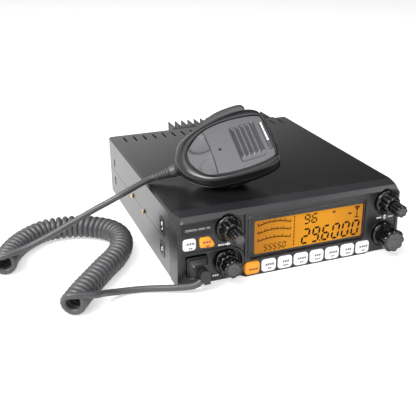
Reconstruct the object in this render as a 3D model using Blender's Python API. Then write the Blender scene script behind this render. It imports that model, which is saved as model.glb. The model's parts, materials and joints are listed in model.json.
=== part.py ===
"""A mobile radio transceiver with a hand microphone lying on its cover.

Every size below is in millimetres. A point (x, y, z) is written in the radio's own terms: x is 0 in
the middle of the case, y is 0 on the front face and grows to the rear, and z is 0 on the ground.
The model's origin is the middle of the footprint, on the ground, so the front looks along -Y.
"""

import math

import bmesh
import bpy
from mathutils import Matrix, Vector

MM = 0.001
GAP = 0.3

# ---- Driving dimensions of the case ----
CASE_WIDTH = 200.0
CASE_HEIGHT = 58.5
CASE_REAR = 221.0
BEZEL_DEPTH = 18.0
FIN_REAR = 250.5
KNOB_FRONT = -22.5
ORIGIN_Y = (FIN_REAR + KNOB_FRONT) / 2
HALF_WIDTH = CASE_WIDTH / 2
SHEET = 1.2
SEAM_HEIGHT = 28.6
CORNER = 1.6
DECK_HEIGHT = 28.0
CHASSIS_THICK = 1.5
SCREW_PLACES = (("front", 92.4), ("rear", 131.2))

# ---- Openings in the covers: slots along the top's rear, holes in the sides, grille below ----
VENT_COUNT = 18
VENT_FIRST_X = -86.6
VENT_PITCH = 10.19
VENT_ENDS = (198.5, 213.3)
VENT_HALF = 0.9
REAR_HOLE = (199.2, 202.8)
UPPER_HOLE = (35.0, 41.0)
LOWER_HOLE = (36.0, 44.0)
GRILLE_BARS = 7
GRILLE_BAR_PITCH = 7.0

# ---- Front panel ----
PANEL_INNER = 7.0
PANEL_SIDE = 1.5
PANEL_LOW = 3.0
BLOCK_LEFT = -43.5
BLOCK_RIGHT = 69.0
FIELD_TOP = 54.6
LOW_FIELD_LEFT = -94.5
LOW_FIELD_TOP = 27.4
LOW_FIELD_ROUND = 13.2
WINDOW = (-40.0, 65.0, 15.0, 51.0)
WINDOW_RADIUS = 2.5
BOARD_FRONT = 14.0
BOARD_THICK = 1.6

# ---- Buttons ----
ROW_COUNT = 8
ROW_FIRST_X = -37.2
ROW_PITCH = 14.53
ROW_Z = 7.1
ROW_SIZE = (12.8, 11.2)
ROW_RADIUS = 3.0
BUTTON_PROUD = 1.5
BUTTON_REAR = 9.0
FUNCTION_BUTTON = (-89.35, 36.2, 10.6, 9.8)
FUNCTION_RADIUS = 2.4
BAND_BUTTON = [(-81.0, 32.0), (-69.6, 31.4), (-68.3, 33.4), (-72.6, 40.6), (-81.2, 40.8)]

# ---- Knobs: axis x and z ----
KNOB_UPPER_LEFT = (-57.5, 45.5)
KNOB_LOWER_LEFT = (-58.5, 16.0)
KNOB_UPPER_RIGHT = (85.0, 45.0)
KNOB_CHANNEL = (84.5, 16.0)
SPINDLE_RADIUS = 2.0
SLEEVE_RADIUS = 4.0
SHAFT_HOLE_RADIUS = 4.6
DISH_RADIUS = 11.8
DISH_DEPTH = 1.0
BORE_BOTTOM = 3.0
SPINDLE_GRIP = 4.0
CONTROL_HALF = 7.0
CHANNEL_FRONT = -17.0
CHANNEL_BORE_END = -13.0
TURN_STEPS = 40

# ---- Microphone socket and plug ----
SOCKET_BOX = (-92.0, -74.4, 7.2, 25.4)
PLUG_MOUTH = (-83.6, -8.9, 9.0)
PLUG_MOUTH_WAY = (-0.8, 0.0, -0.6)
SPOUT_RADIUS = 4.1

# ---- Heat sink ----
FIN_COUNT = 16
FIN_FIRST_X = -27.0
FIN_PITCH = 7.3
FIN_THICK = 1.7

# ---- Rear panel and speaker ----
PANEL_THICK = 2.0
ANTENNA_AT = (-82.0, 38.0)
DC_SOCKET_AT = (-54.0, 38.0)
SPEAKER_JACK_AT = (-82.0, 13.0)
PA_JACK_AT = (-54.0, 13.0)
SPEAKER_Y = 120.0

# ---- Hand microphone: its own frame is long, across, out of its face ----
MIC_ORIGIN = (-41.0, 59.9, 88.0)
MIC_LONG = (0.939, -0.197, 0.282)
MIC_ACROSS = (0.047, 0.886, 0.462)
MIC_SPLIT = -8.6
MIC_BACK = -27.0
MIC_WALL = 2.2
MIC_MIDDLE = (5.0, 4.0)
# Cutters that open the body's end or side run out to here.
MIC_BEYOND = 52.0

# The plans below have the same number of (long, across) points, so one can turn into the next.
FACE_PLAN = [
    (-27.8, 3.0), (-25.0, 12.5), (-17.5, 20.5), (-6.8, 26.6), (5.0, 28.8), (18.0, 28.7), (31.0, 26.6),
    (38.9, 24.1), (42.2, 19.0), (42.8, 1.0), (41.2, -18.5), (37.6, -24.4), (20.0, -26.9), (-1.0, -25.3),
    (-16.0, -20.0), (-25.0, -9.0),
]
BODY_PLAN = [
    (-39.0, 5.0), (-37.0, 15.5), (-31.5, 26.0), (-20.0, 32.6), (-5.0, 37.4), (11.0, 40.6), (25.0, 41.0),
    (36.5, 38.0), (42.6, 29.5), (45.0, 4.0), (43.6, -22.0), (39.4, -29.2), (22.0, -31.6), (-2.0, -30.2),
    (-20.0, -25.5), (-34.5, -11.5),
]
BACK_PLAN = [
    (-22.0, 5.0), (-20.5, 12.0), (-16.0, 19.0), (-8.0, 24.0), (2.0, 27.0), (12.0, 28.0), (22.0, 27.0),
    (29.0, 24.0), (33.0, 18.0), (35.0, 4.0), (34.0, -10.0), (30.0, -15.0), (18.0, -17.0), (4.0, -16.0),
    (-9.0, -13.0), (-19.0, -6.0),
]
# The body is thinner from here to its cable end, by this much for each millimetre.
THIN_FROM = 14.0
THIN_SLOPE = 0.15

# ---- Talk key: its outer side in plan, its hinge and its height ----
KEY_OUTER = [
    (-18.5, 33.4), (-12.0, 37.6), (-5.7, 41.2), (8.0, 46.2), (22.6, 47.2), (31.0, 45.8), (33.4, 42.0),
]
KEY_INNER = [(33.4, 37.0), (8.0, 35.0), (-18.5, 29.4)]
KEY_HINGE = (32.0, 38.6)
KEY_LOW = -15.5
KEY_HIGH = -3.4

# ---- Grille in the microphone's face plate ----
GRILLE_SLOTS = 5
GRILLE_FIRST = 14.5
GRILLE_PITCH = 4.4
GRILLE_SLOT_WIDTH = 2.2
GRILLE_SLOT_ENDS = (-18.0, 19.0)
GRILLE_DEPTH = 0.9

# ---- Up and down keys in the microphone's far end ----
STEP_KEY_MIDDLE = 3.0
STEP_KEY_SPACING = 16.0
STEP_KEY_HEIGHTS = (-7.6, -4.4)
STEP_KEY_AT = 44.4
STEP_KEY_LENGTH = 6.0
STEP_KEY_HALF = 4.0
STEP_KEY_TRAVEL = 1.0

# ---- Strain relief, along the microphone ----
RELIEF_AT = (-40.4, 6.0, -13.6)
RELIEF_LENGTH = 18.3
NECK_RADIUS = 4.8

# ---- Cord ----
WIRE_RADIUS = 2.6
COIL_RADIUS = 10.0
COIL_HEIGHT = 10.2
COIL_ROUTE = [
    (-183.0, -9.1), (-172.0, 7.2), (-160.7, 21.8), (-148.0, 38.1), (-137.1, 51.1), (-128.0, 67.4),
    (-124.0, 85.3), (-126.2, 98.7), (-132.8, 109.1), (-144.0, 118.0), (-157.2, 123.8), (-169.6, 125.6),
    (-182.1, 124.9), (-194.8, 117.6), (-207.5, 105.3), (-217.5, 88.6), (-223.3, 71.3),
]
LEAD_TO_MIC = [
    (-91.8, 82.35, 63.1), (-94.2, 82.8, 62.4), (-98.3, 81.9, 61.6), (-102.3, 79.6, 61.2),
    (-108.0, 77.4, 60.0), (-114.0, 75.2, 58.5), (-119.6, 73.4, 57.1), (-125.0, 72.6, 55.1),
    (-134.6, 74.2, 50.1), (-145.2, 75.5, 45.2), (-158.7, 75.9, 39.0), (-171.5, 76.3, 33.0),
    (-184.3, 75.8, 27.5), (-196.9, 75.8, 22.5), (-206.5, 75.0, 19.5), (-211.8, 74.2, 18.8),
]
LEAD_TO_PLUG = [
    (-83.9, -8.9, 8.8), (-86.3, -8.9, 7.1), (-89.8, -8.3, 5.7), (-95.5, -6.4, 4.9),
    (-102.5, -3.6, 4.3), (-113.4, 1.6, 3.4), (-125.3, 6.0, 2.9), (-137.4, 7.6, 3.3),
    (-149.0, 5.0, 5.6), (-157.5, -0.5, 9.5), (-165.5, -8.0, 14.0),
]


# ---------------------------------------------------------------- helpers
def place(point):
    """The world position, in metres, of a point given in the radio's terms."""
    return Vector((point[0], point[1] - ORIGIN_Y, point[2])) * MM


def material(name, color, roughness, metallic=0.0):
    found = bpy.data.materials.get(name)
    if found:
        return found
    made = bpy.data.materials.new(name)
    made.use_nodes = True
    shader = made.node_tree.nodes["Principled BSDF"]
    shader.inputs["Base Color"].default_value = (*color, 1.0)
    shader.inputs["Roughness"].default_value = roughness
    shader.inputs["Metallic"].default_value = metallic
    return made


def add_mesh(name, bm, look, at=(0.0, 0.0, 0.0), parent=None, smooth_angle=35.0):
    """Makes an object from a mesh in millimetres. Its origin is the point at."""
    bmesh.ops.recalc_face_normals(bm, faces=bm.faces)
    bmesh.ops.scale(bm, vec=(MM, MM, MM), verts=bm.verts)
    mesh = bpy.data.meshes.new(name)
    bm.to_mesh(mesh)
    bm.free()
    mesh.shade_smooth()
    mesh.set_sharp_from_angle(angle=math.radians(smooth_angle))
    mesh.materials.append(look)
    obj = bpy.data.objects.new(name, mesh)
    bpy.context.collection.objects.link(obj)
    if parent:
        obj.parent = parent
        obj.location = Vector(at) * MM
    else:
        obj.location = place(at)
    return obj


def loft(rings):
    """A closed solid through rings of equal length, its first and last ring capped."""
    bm = bmesh.new()
    add_loft(bm, rings)
    return bm


def add_loft(bm, rings):
    loops = [[bm.verts.new(point) for point in ring] for ring in rings]
    count = len(rings[0])
    for low, high in zip(loops, loops[1:]):
        for i in range(count):
            j = (i + 1) % count
            bm.faces.new((low[i], low[j], high[j], high[i]))
    bm.faces.new(loops[0])
    bm.faces.new(loops[-1])


def box_ring(x0, x1, z0, z1, y):
    return [(x0, y, z0), (x1, y, z0), (x1, y, z1), (x0, y, z1)]


def add_box(bm, x0, x1, y0, y1, z0, z1):
    add_loft(bm, [box_ring(x0, x1, z0, z1, y0), box_ring(x0, x1, z0, z1, y1)])


def box(x0, x1, y0, y1, z0, z1):
    bm = bmesh.new()
    add_box(bm, x0, x1, y0, y1, z0, z1)
    return bm


def rounded(cx, cz, width, height, radius, arc_steps=3):
    """The outline of a rectangle with round corners, as (x, z) points."""
    points = []
    for quarter in range(4):
        sx = (1, -1, -1, 1)[quarter]
        sz = (1, 1, -1, -1)[quarter]
        for step in range(arc_steps + 1):
            angle = math.pi / 2 * (quarter + step / arc_steps)
            x = cx + sx * (width / 2 - radius) + radius * math.cos(angle)
            z = cz + sz * (height / 2 - radius) + radius * math.sin(angle)
            points.append((x, z))
    return points


def circle(cx, cz, radius, steps=24):
    angles = [2 * math.pi * i / steps for i in range(steps)]
    return [(cx + radius * math.cos(a), cz + radius * math.sin(a)) for a in angles]


def at_depth(outline, y):
    return [(x, y, z) for x, z in outline]


def add_prism(bm, outline, y0, y1):
    """Extrudes an (x, z) outline from depth y0 to depth y1."""
    add_loft(bm, [at_depth(outline, y0), at_depth(outline, y1)])


def shrunk(outline, amount):
    """The outline moved in by amount on each side, towards its own middle."""
    xs = [x for x, _ in outline]
    zs = [z for _, z in outline]
    cx, cz = (min(xs) + max(xs)) / 2, (min(zs) + max(zs)) / 2
    kx = 1 - 2 * amount / (max(xs) - min(xs))
    kz = 1 - 2 * amount / (max(zs) - min(zs))
    return [(cx + (x - cx) * kx, cz + (z - cz) * kz) for x, z in outline]


def turned(profile, steps=TURN_STEPS, lobes=0, closed=False):
    """A solid turned about the Y axis. The profile is (radius, y, lobe depth); closed joins its ends."""
    bm = bmesh.new()
    loops = []
    for radius, y, *extra in profile:
        depth = extra[0] if extra else 0.0
        if radius == 0:
            loops.append([bm.verts.new((0, y, 0))])
            continue
        ring = []
        for i in range(steps):
            angle = 2 * math.pi * i / steps
            r = radius - depth * (0.5 - 0.5 * math.cos(lobes * angle))
            ring.append(bm.verts.new((r * math.cos(angle), y, r * math.sin(angle))))
        loops.append(ring)
    pairs = list(zip(loops, loops[1:]))
    if closed:
        pairs.append((loops[-1], loops[0]))
    for one, two in pairs:
        for i in range(steps):
            j = (i + 1) % steps
            if len(one) == 1:
                bm.faces.new((one[0], two[i], two[j]))
            elif len(two) == 1:
                bm.faces.new((one[j], one[i], two[0]))
            else:
                bm.faces.new((one[i], one[j], two[j], two[i]))
    if not closed:
        for loop in (loops[0], loops[-1]):
            if len(loop) > 1:
                bm.faces.new(loop)
    return bm


def combine(obj, bm, name, parent, operation):
    other = add_mesh(name, bm, CUTTER, parent=parent)
    other.hide_render = True
    other.display_type = "WIRE"
    modifier = obj.modifiers.new(name, "BOOLEAN")
    modifier.operation = operation
    modifier.solver = "EXACT"
    modifier.object = other


def cut(obj, bm, name, parent=None):
    """Takes the closed solids in bm, which don't overlap each other, out of obj."""
    combine(obj, bm, name, parent, "DIFFERENCE")


def join(obj, bm, name, parent=None):
    """Makes the closed solid in bm one body with obj."""
    combine(obj, bm, name, parent, "UNION")


def catmull(a, b, c, d, t):
    """The point this share of the way from b to c on the smooth curve through a, b, c and d."""
    return 0.5 * (
        2 * b + (c - a) * t + (2 * a - 5 * b + 4 * c - d) * t**2 + (3 * b - a - 3 * c + d) * t**3
    )


def smooth_route(points, spacing):
    """Points about spacing apart on the smooth curve through points."""
    pts = [Vector(p) for p in points]
    pts = [pts[0] * 2 - pts[1], *pts, pts[-1] * 2 - pts[-2]]
    fine = []
    for a, b, c, d in zip(pts, pts[1:], pts[2:], pts[3:]):
        fine += [catmull(a, b, c, d, step / 20) for step in range(20)]
    fine.append(pts[-2])
    lengths = [0.0]
    for a, b in zip(fine, fine[1:]):
        lengths.append(lengths[-1] + (b - a).length)
    count = max(2, round(lengths[-1] / spacing))
    route = []
    for i in range(count + 1):
        goal = lengths[-1] * i / count
        k = next(n for n in range(1, len(lengths)) if lengths[n] >= goal - 1e-6)
        share = (goal - lengths[k - 1]) / (lengths[k] - lengths[k - 1])
        route.append(fine[k - 1].lerp(fine[k], share))
    return route


def tube(name, points, radius, resolution, look):
    curve = bpy.data.curves.new(name, "CURVE")
    curve.dimensions = "3D"
    curve.bevel_depth = radius * MM
    curve.bevel_resolution = resolution
    curve.use_fill_caps = True
    spline = curve.splines.new("POLY")
    spline.points.add(len(points) - 1)
    for target, point in zip(spline.points, points):
        target.co = (*place(point), 1.0)
    spline.use_smooth = True
    curve.materials.append(look)
    obj = bpy.data.objects.new(name, curve)
    bpy.context.collection.objects.link(obj)
    return obj


# ---------------------------------------------------------------- case
def case_outline(inset, low, high):
    """The case's cross-section between two heights, its upper corners cut off."""
    edge = HALF_WIDTH - inset
    top = high - inset
    c = CORNER - 0.4 * inset
    return [(-edge, low), (-edge, top - c), (-edge + c, top), (edge - c, top), (edge, top - c), (edge, low)]


def side_slots(bm, low, high, y0, y1):
    for side in (-1, 1):
        inner, outer = sorted((side * (HALF_WIDTH - 4), side * (HALF_WIDTH + 4)))
        add_box(bm, inner, outer, y0, y1, low, high)


def make_top_cover():
    outer = case_outline(0.0, SEAM_HEIGHT + GAP / 2, CASE_HEIGHT)
    inner = case_outline(SHEET, SEAM_HEIGHT + GAP / 2, CASE_HEIGHT)
    sheet = outer + inner[::-1]
    bm = bmesh.new()
    add_prism(bm, sheet, BEZEL_DEPTH + GAP, CASE_REAR)
    cover = add_mesh("top_cover", bm, COVER_PAINT)
    slots = bmesh.new()
    low, high = VENT_ENDS
    corner = 0.5
    for i in range(VENT_COUNT):
        x = VENT_FIRST_X + VENT_PITCH * i
        wide, slim = VENT_HALF, VENT_HALF - corner
        ends = [(x - wide, low + corner), (x - slim, low), (x + slim, low), (x + wide, low + corner)]
        ends += [(x + wide, high - corner), (x + slim, high), (x - slim, high), (x - wide, high - corner)]
        add_loft(slots, [[(a, b, z) for a, b in ends] for z in (CASE_HEIGHT - 4, CASE_HEIGHT + 3)])
    cut(cover, slots, "top_cover_vents")
    holes = bmesh.new()
    side_slots(holes, 33.0, 41.0, *REAR_HOLE)
    side_slots(holes, 33.0, 44.0, *UPPER_HOLE)
    cut(cover, holes, "top_cover_side_holes")


def make_bottom_cover():
    edge = HALF_WIDTH
    seam = SEAM_HEIGHT - GAP / 2
    outer = [(-edge, seam), (-edge, 1.0), (-edge + 1.0, 0.0), (edge - 1.0, 0.0), (edge, 1.0), (edge, seam)]
    inner = [(edge - SHEET, seam), (edge - SHEET, SHEET), (-edge + SHEET, SHEET), (-edge + SHEET, seam)]
    bm = bmesh.new()
    add_prism(bm, outer + inner, BEZEL_DEPTH + GAP, CASE_REAR)
    cover = add_mesh("bottom_cover", bm, COVER_PAINT)
    grille = bmesh.new()
    for i in range(GRILLE_BARS):
        y = SPEAKER_Y + GRILLE_BAR_PITCH * (i - (GRILLE_BARS - 1) / 2)
        add_box(grille, -18, 18, y - 1.5, y + 1.5, -3, 3)
    cut(cover, grille, "bottom_cover_grille")
    holes = bmesh.new()
    side_slots(holes, 14.0, 22.6, *REAR_HOLE)
    side_slots(holes, 14.0, 21.0, *LOWER_HOLE)
    cut(cover, holes, "bottom_cover_side_holes")


def make_chassis():
    """The frame: two side plates joined by a deck half way up."""
    outer = HALF_WIDTH - SHEET - GAP
    inner = outer - CHASSIS_THICK
    foot, head = 1.6, 54.5
    deck_low, deck_high = DECK_HEIGHT, DECK_HEIGHT + CHASSIS_THICK
    section = [(-outer, foot), (-inner, foot), (-inner, deck_low), (inner, deck_low), (inner, foot)]
    section += [(outer, foot), (outer, head), (inner, head), (inner, deck_high), (-inner, deck_high)]
    section += [(-inner, head), (-outer, head)]
    bm = bmesh.new()
    add_prism(bm, section, BEZEL_DEPTH + GAP, CASE_REAR - PANEL_THICK - 0.4)
    frame = add_mesh("chassis_frame", bm, PLATED_STEEL)
    holes = bmesh.new()
    side_slots(holes, 13.0, 23.6, LOWER_HOLE[0] - 1.0, LOWER_HOLE[1] + 1.0)
    side_slots(holes, 33.0, 44.0, UPPER_HOLE[0] - 0.6, UPPER_HOLE[1] + 0.6)
    cut(frame, holes, "chassis_side_holes")


def make_rear_panel():
    edge = HALF_WIDTH - SHEET - GAP
    top = CASE_HEIGHT - SHEET - 2 * GAP - 1.0
    bm = box(-edge, edge, CASE_REAR - PANEL_THICK, CASE_REAR, SHEET + GAP, top)
    panel = add_mesh("rear_panel", bm, COVER_PAINT)
    holes = bmesh.new()
    y0, y1 = CASE_REAR - 5, CASE_REAR + 3
    add_prism(holes, circle(*ANTENNA_AT, 6.4), y0, y1)
    add_prism(holes, circle(*SPEAKER_JACK_AT, 3.3, 16), y0, y1)
    add_prism(holes, circle(*PA_JACK_AT, 3.3, 16), y0, y1)
    add_prism(holes, rounded(*DC_SOCKET_AT, 16.6, 10.6, 1.5), y0, y1)
    cut(panel, holes, "rear_panel_holes")


def make_heat_sink():
    """A comb of upright fins on a base plate."""
    base_front = CASE_REAR + GAP
    base_rear = base_front + 3.6
    left = FIN_FIRST_X - 4.0
    right = FIN_FIRST_X + FIN_PITCH * (FIN_COUNT - 1) + 4.0
    comb = [(right, base_front), (left, base_front), (left, base_rear)]
    for i in range(FIN_COUNT):
        x = FIN_FIRST_X + FIN_PITCH * i
        comb += [(x - FIN_THICK / 2, base_rear), (x - FIN_THICK / 2 + 0.3, FIN_REAR)]
        comb += [(x + FIN_THICK / 2 - 0.3, FIN_REAR), (x + FIN_THICK / 2, base_rear)]
    comb.append((right, base_rear))
    rings = [[(x, y, z) for x, y in comb] for z in (2.0, CASE_HEIGHT)]
    add_mesh("heat_sink", loft(rings), ANODISED)


def make_side_screws():
    for side, word in ((-1, "left"), (1, "right")):
        for spot, y in SCREW_PLACES:
            bm = turned([(0, 0.35), (1.3, 0.35), (2.3, 0.0), (2.3, -0.5), (1.5, -1.0), (0.0, -1.0)], 16)
            turn = Matrix.Rotation(math.radians(-90 * side), 4, "Z")
            bmesh.ops.transform(bm, matrix=turn, verts=bm.verts)
            # The screw head's outer side looks away from the case.
            bmesh.ops.translate(bm, vec=(side * (1.0 + GAP), 0, 0), verts=bm.verts)
            add_mesh(f"cover_screw_{word}_{spot}", bm, BRASS, at=(side * HALF_WIDTH, y, SEAM_HEIGHT))


# ---------------------------------------------------------------- front panel
def bezel_ring(y, side, shoulder, cut_in, top):
    """One outline of the front panel: wide at its foot, its upper corners cut off."""
    foot = HALF_WIDTH - 0.4 * (BEZEL_DEPTH - y) / BEZEL_DEPTH
    return at_depth(
        [(-foot, 0.0), (-side, shoulder), (-cut_in, top), (cut_in, top), (side, shoulder), (foot, 0.0)], y
    )


def row_button_x(i):
    return ROW_FIRST_X + ROW_PITCH * i


def dishes(bm, knobs, surface):
    for x, z in knobs:
        add_prism(bm, circle(x, z, DISH_RADIUS, 36), -8.0, surface + DISH_DEPTH)


def make_bezel():
    rings = [
        bezel_ring(0.0, 97.9, 51.4, 94.2, 55.6),
        bezel_ring(4.0, 98.8, 52.4, 95.0, CASE_HEIGHT),
        bezel_ring(9.0, 99.7, 54.0, 96.4, CASE_HEIGHT),
        bezel_ring(BEZEL_DEPTH, HALF_WIDTH, CASE_HEIGHT - CORNER, HALF_WIDTH - CORNER, CASE_HEIGHT),
    ]
    bezel = add_mesh("front_bezel", loft(rings), PANEL_PLASTIC)

    cavity = box(-96.0, 96.0, PANEL_INNER, BEZEL_DEPTH + 5, 1.0, 54.0)
    cut(bezel, cavity, "bezel_cavity")

    # Cutters run out this far past the panel.
    far, ahead = HALF_WIDTH + 15, -9.0
    fields = bmesh.new()
    add_box(fields, -far, BLOCK_LEFT, ahead, PANEL_SIDE, -9, FIELD_TOP)
    add_box(fields, BLOCK_RIGHT, far, ahead, PANEL_SIDE, -9, FIELD_TOP)
    cut(bezel, fields, "bezel_side_fields")

    cx, cz = KNOB_LOWER_LEFT
    low = [(LOW_FIELD_LEFT, -9.0), (LOW_FIELD_LEFT, LOW_FIELD_TOP)]
    for step in range(9):
        angle = math.pi / 2 * (1 - step / 8)
        x = cx + LOW_FIELD_ROUND * math.cos(angle)
        low.append((x, cz + (LOW_FIELD_ROUND - 0.4) * math.sin(angle)))
    low.append((cx + LOW_FIELD_ROUND, -9.0))
    recess = bmesh.new()
    add_prism(recess, low, -10.0, PANEL_LOW)
    cut(bezel, recess, "bezel_low_field")

    rims = bmesh.new()
    dishes(rims, [KNOB_UPPER_LEFT, KNOB_UPPER_RIGHT, KNOB_CHANNEL], PANEL_SIDE)
    dishes(rims, [KNOB_LOWER_LEFT], PANEL_LOW)
    cut(bezel, rims, "bezel_knob_dishes")

    holes = bmesh.new()
    y0, y1 = -12.0, PANEL_INNER + 3
    x0, x1, z0, z1 = WINDOW
    add_prism(holes, rounded((x0 + x1) / 2, (z0 + z1) / 2, x1 - x0, z1 - z0, WINDOW_RADIUS), y0, y1)
    for i in range(ROW_COUNT):
        width, height = ROW_SIZE
        outline = rounded(row_button_x(i), ROW_Z, width + 2 * GAP, height + 2 * GAP, ROW_RADIUS)
        add_prism(holes, outline, y0, y1)
    x, z, width, height = FUNCTION_BUTTON
    add_prism(holes, rounded(x, z, width + 2 * GAP, height + 2 * GAP, FUNCTION_RADIUS), y0, y1)
    add_prism(holes, shrunk(band_outline(), -GAP), y0, y1)
    for x, z in (KNOB_UPPER_LEFT, KNOB_LOWER_LEFT, KNOB_UPPER_RIGHT, KNOB_CHANNEL):
        add_prism(holes, circle(x, z, SHAFT_HOLE_RADIUS), y0, y1)
    x0, x1, z0, z1 = SOCKET_BOX
    add_prism(holes, rounded((x0 + x1) / 2, (z0 + z1) / 2, x1 - x0, z1 - z0, 0.8, 1), y0, y1)
    cut(bezel, holes, "bezel_holes")


def band_outline():
    """The five-sided button beside the square one, its corners taken off."""
    points = []
    count = len(BAND_BUTTON)
    for i, (x, z) in enumerate(BAND_BUTTON):
        for other in (BAND_BUTTON[i - 1], BAND_BUTTON[(i + 1) % count]):
            dx, dz = other[0] - x, other[1] - z
            length = math.hypot(dx, dz)
            step = min(1.5, 0.4 * length)
            points.append((x + dx / length * step, z + dz / length * step))
    return points


def make_display():
    x0, x1, z0, z1 = WINDOW
    cx, cz = (x0 + x1) / 2, (z0 + z1) / 2
    wide, tall = x1 - x0 - 2 * GAP, z1 - z0 - 2 * GAP
    bm = bmesh.new()
    add_prism(bm, rounded(cx, cz, wide, tall, WINDOW_RADIUS - GAP), 0.7, 1.8)
    add_mesh("lens_window", bm, WINDOW_PLASTIC)
    add_mesh("lcd_panel", box(x0 + 1.2, x1 - 0.6, 2.1, 12.0, z0 + 1.2, z1 - 1.2), LCD_AMBER)
    bm = box(-94, 94, BOARD_FRONT, BOARD_FRONT + BOARD_THICK, 2.5, 53.0)
    add_mesh("display_board", bm, BOARD_GREEN)


def button(name, outline, face, look):
    """A button cap with its edge rounded off, standing proud of the panel's surface."""
    xs = [x for x, _ in outline]
    zs = [z for _, z in outline]
    cx, cz = (min(xs) + max(xs)) / 2, (min(zs) + max(zs)) / 2
    local = [(x - cx, z - cz) for x, z in outline]
    front = face - BUTTON_PROUD
    rings = [
        at_depth(shrunk(local, 1.0), 0.0),
        at_depth(shrunk(local, 0.3), 0.35),
        at_depth(local, 1.0),
        at_depth(local, BUTTON_REAR - front),
    ]
    add_mesh(name, loft(rings), look, at=(cx, front, cz))


def make_buttons():
    for i in range(ROW_COUNT):
        look = ORANGE_PLASTIC if i == 0 else WHITE_PLASTIC
        outline = rounded(row_button_x(i), ROW_Z, *ROW_SIZE, ROW_RADIUS)
        button(f"row_button_{i + 1}", outline, 0.0, look)
    x, z, width, height = FUNCTION_BUTTON
    outline = rounded(x, z, width, height, FUNCTION_RADIUS)
    button("function_button", outline, PANEL_SIDE, WHITE_PLASTIC)
    button("band_button", band_outline(), PANEL_SIDE, ORANGE_PLASTIC)


def ring_knob(name, axis, face, length, front_radius, lobe):
    """The outer knob of a concentric pair: a sleeve, a flange and a fluted body, bored for the spindle."""
    bore = SPINDLE_RADIUS + GAP
    back = face + DISH_DEPTH - GAP
    front = -length
    profile = [
        (bore, PANEL_INNER - 1.0), (SLEEVE_RADIUS, PANEL_INNER - 1.0), (SLEEVE_RADIUS, back), (9.8, back),
        (10.1, back - 0.4), (10.1, back - 2.2), (9.6, back - 2.8), (9.2, back - 3.6, lobe),
        (front_radius + 0.4, front + 1.2, lobe), (front_radius, front, lobe), (bore, front),
    ]
    at = (axis[0], 0.0, axis[1])
    add_mesh(name, turned(profile, lobes=8, closed=True), KNOB_PLASTIC, at=at)


def tip_knob(name, axis, start, length, radius, lobe):
    """The inner knob of a concentric pair, with a blind bore for the spindle."""
    bore = SPINDLE_RADIUS + GAP
    front = -length
    bottom = front + BORE_BOTTOM
    profile = [
        (0, bottom), (bore, bottom), (bore, -start), (radius * 0.92, -start), (radius, -start - 0.8, lobe),
        (radius * 0.97, front + 0.9, lobe), (radius * 0.86, front, lobe), (0, front),
    ]
    at = (axis[0], 0.0, axis[1])
    add_mesh(name, turned(profile, lobes=8), KNOB_PLASTIC, at=at)


def spindle(name, axis, front):
    rear = PANEL_INNER + SPINDLE_GRIP
    profile = [(0, front), (SPINDLE_RADIUS, front), (SPINDLE_RADIUS, rear), (0, rear)]
    add_mesh(name, turned(profile, 16), BRASS, at=(axis[0], 0.0, axis[1]))


def pot(name, axis):
    """A control's body behind the panel, its mouth clear of the turning spindle."""
    y0, y1 = PANEL_INNER + GAP, BOARD_FRONT - GAP
    bm = box(-CONTROL_HALF, CONTROL_HALF, y0, y1, -CONTROL_HALF, CONTROL_HALF)
    body = add_mesh(name, bm, PLATED_STEEL, at=(axis[0], 0.0, axis[1]))
    mouth = bmesh.new()
    outline = circle(axis[0], axis[1], SPINDLE_RADIUS + GAP, 16)
    add_prism(mouth, outline, y0 - 3, PANEL_INNER + SPINDLE_GRIP + 0.5)
    cut(body, mouth, f"{name}_mouth")


def make_knobs():
    pair_sets = [
        ("squelch_rf", KNOB_UPPER_LEFT, PANEL_SIDE, 10.5, 7.2, 22.5, 5.3),
        ("volume_power", KNOB_LOWER_LEFT, PANEL_LOW, 5.5, 8.4, 14.0, 7.8),
        ("clarifier", KNOB_UPPER_RIGHT, PANEL_SIDE, 10.5, 7.2, 22.5, 5.3),
    ]
    for name, axis, face, ring_length, ring_radius, length, tip_radius in pair_sets:
        ring_knob(f"{name}_outer_knob", axis, face, ring_length, ring_radius, 1.0)
        tip_knob(f"{name}_inner_knob", axis, ring_length + GAP, length, tip_radius, 1.0)
        spindle(f"{name}_spindle", axis, -length + BORE_BOTTOM + GAP)
        pot(f"{name}_control", axis)
    bore = SPINDLE_RADIUS + GAP
    back = PANEL_SIDE + DISH_DEPTH - GAP
    end, front = CHANNEL_BORE_END, CHANNEL_FRONT
    profile = [
        (0, end), (bore, end), (bore, back), (10.0, back), (10.4, back - 0.4), (10.4, back - 2.4),
        (9.4, back - 3.0), (9.2, -5.0, 0.8), (10.1, front + 3.0, 1.6), (9.9, front + 0.8, 1.6),
        (9.2, front, 1.6), (0, front),
    ]
    at = (KNOB_CHANNEL[0], 0.0, KNOB_CHANNEL[1])
    add_mesh("channel_knob", turned(profile, 45, lobes=9), KNOB_PLASTIC, at=at)
    spindle("channel_spindle", KNOB_CHANNEL, CHANNEL_BORE_END + GAP)
    pot("channel_encoder", KNOB_CHANNEL)


# ---------------------------------------------------------------- sockets, boards and speaker
def make_mic_socket():
    x0, x1, z0, z1 = SOCKET_BOX
    cx, cz = (x0 + x1) / 2, (z0 + z1) / 2
    bm = box(x0 - cx, x1 - cx, PANEL_INNER + GAP, BOARD_FRONT - GAP, z0 - cz, z1 - cz)
    socket = add_mesh("mic_socket", bm, BLACK_PLASTIC, at=(cx, 0, cz))
    mouth = box(cx - 6.2, cx + 6.2, 2, BOARD_FRONT - 1.5, cz - 4.5, cz + 4.5)
    cut(socket, mouth, "mic_socket_mouth")


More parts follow.
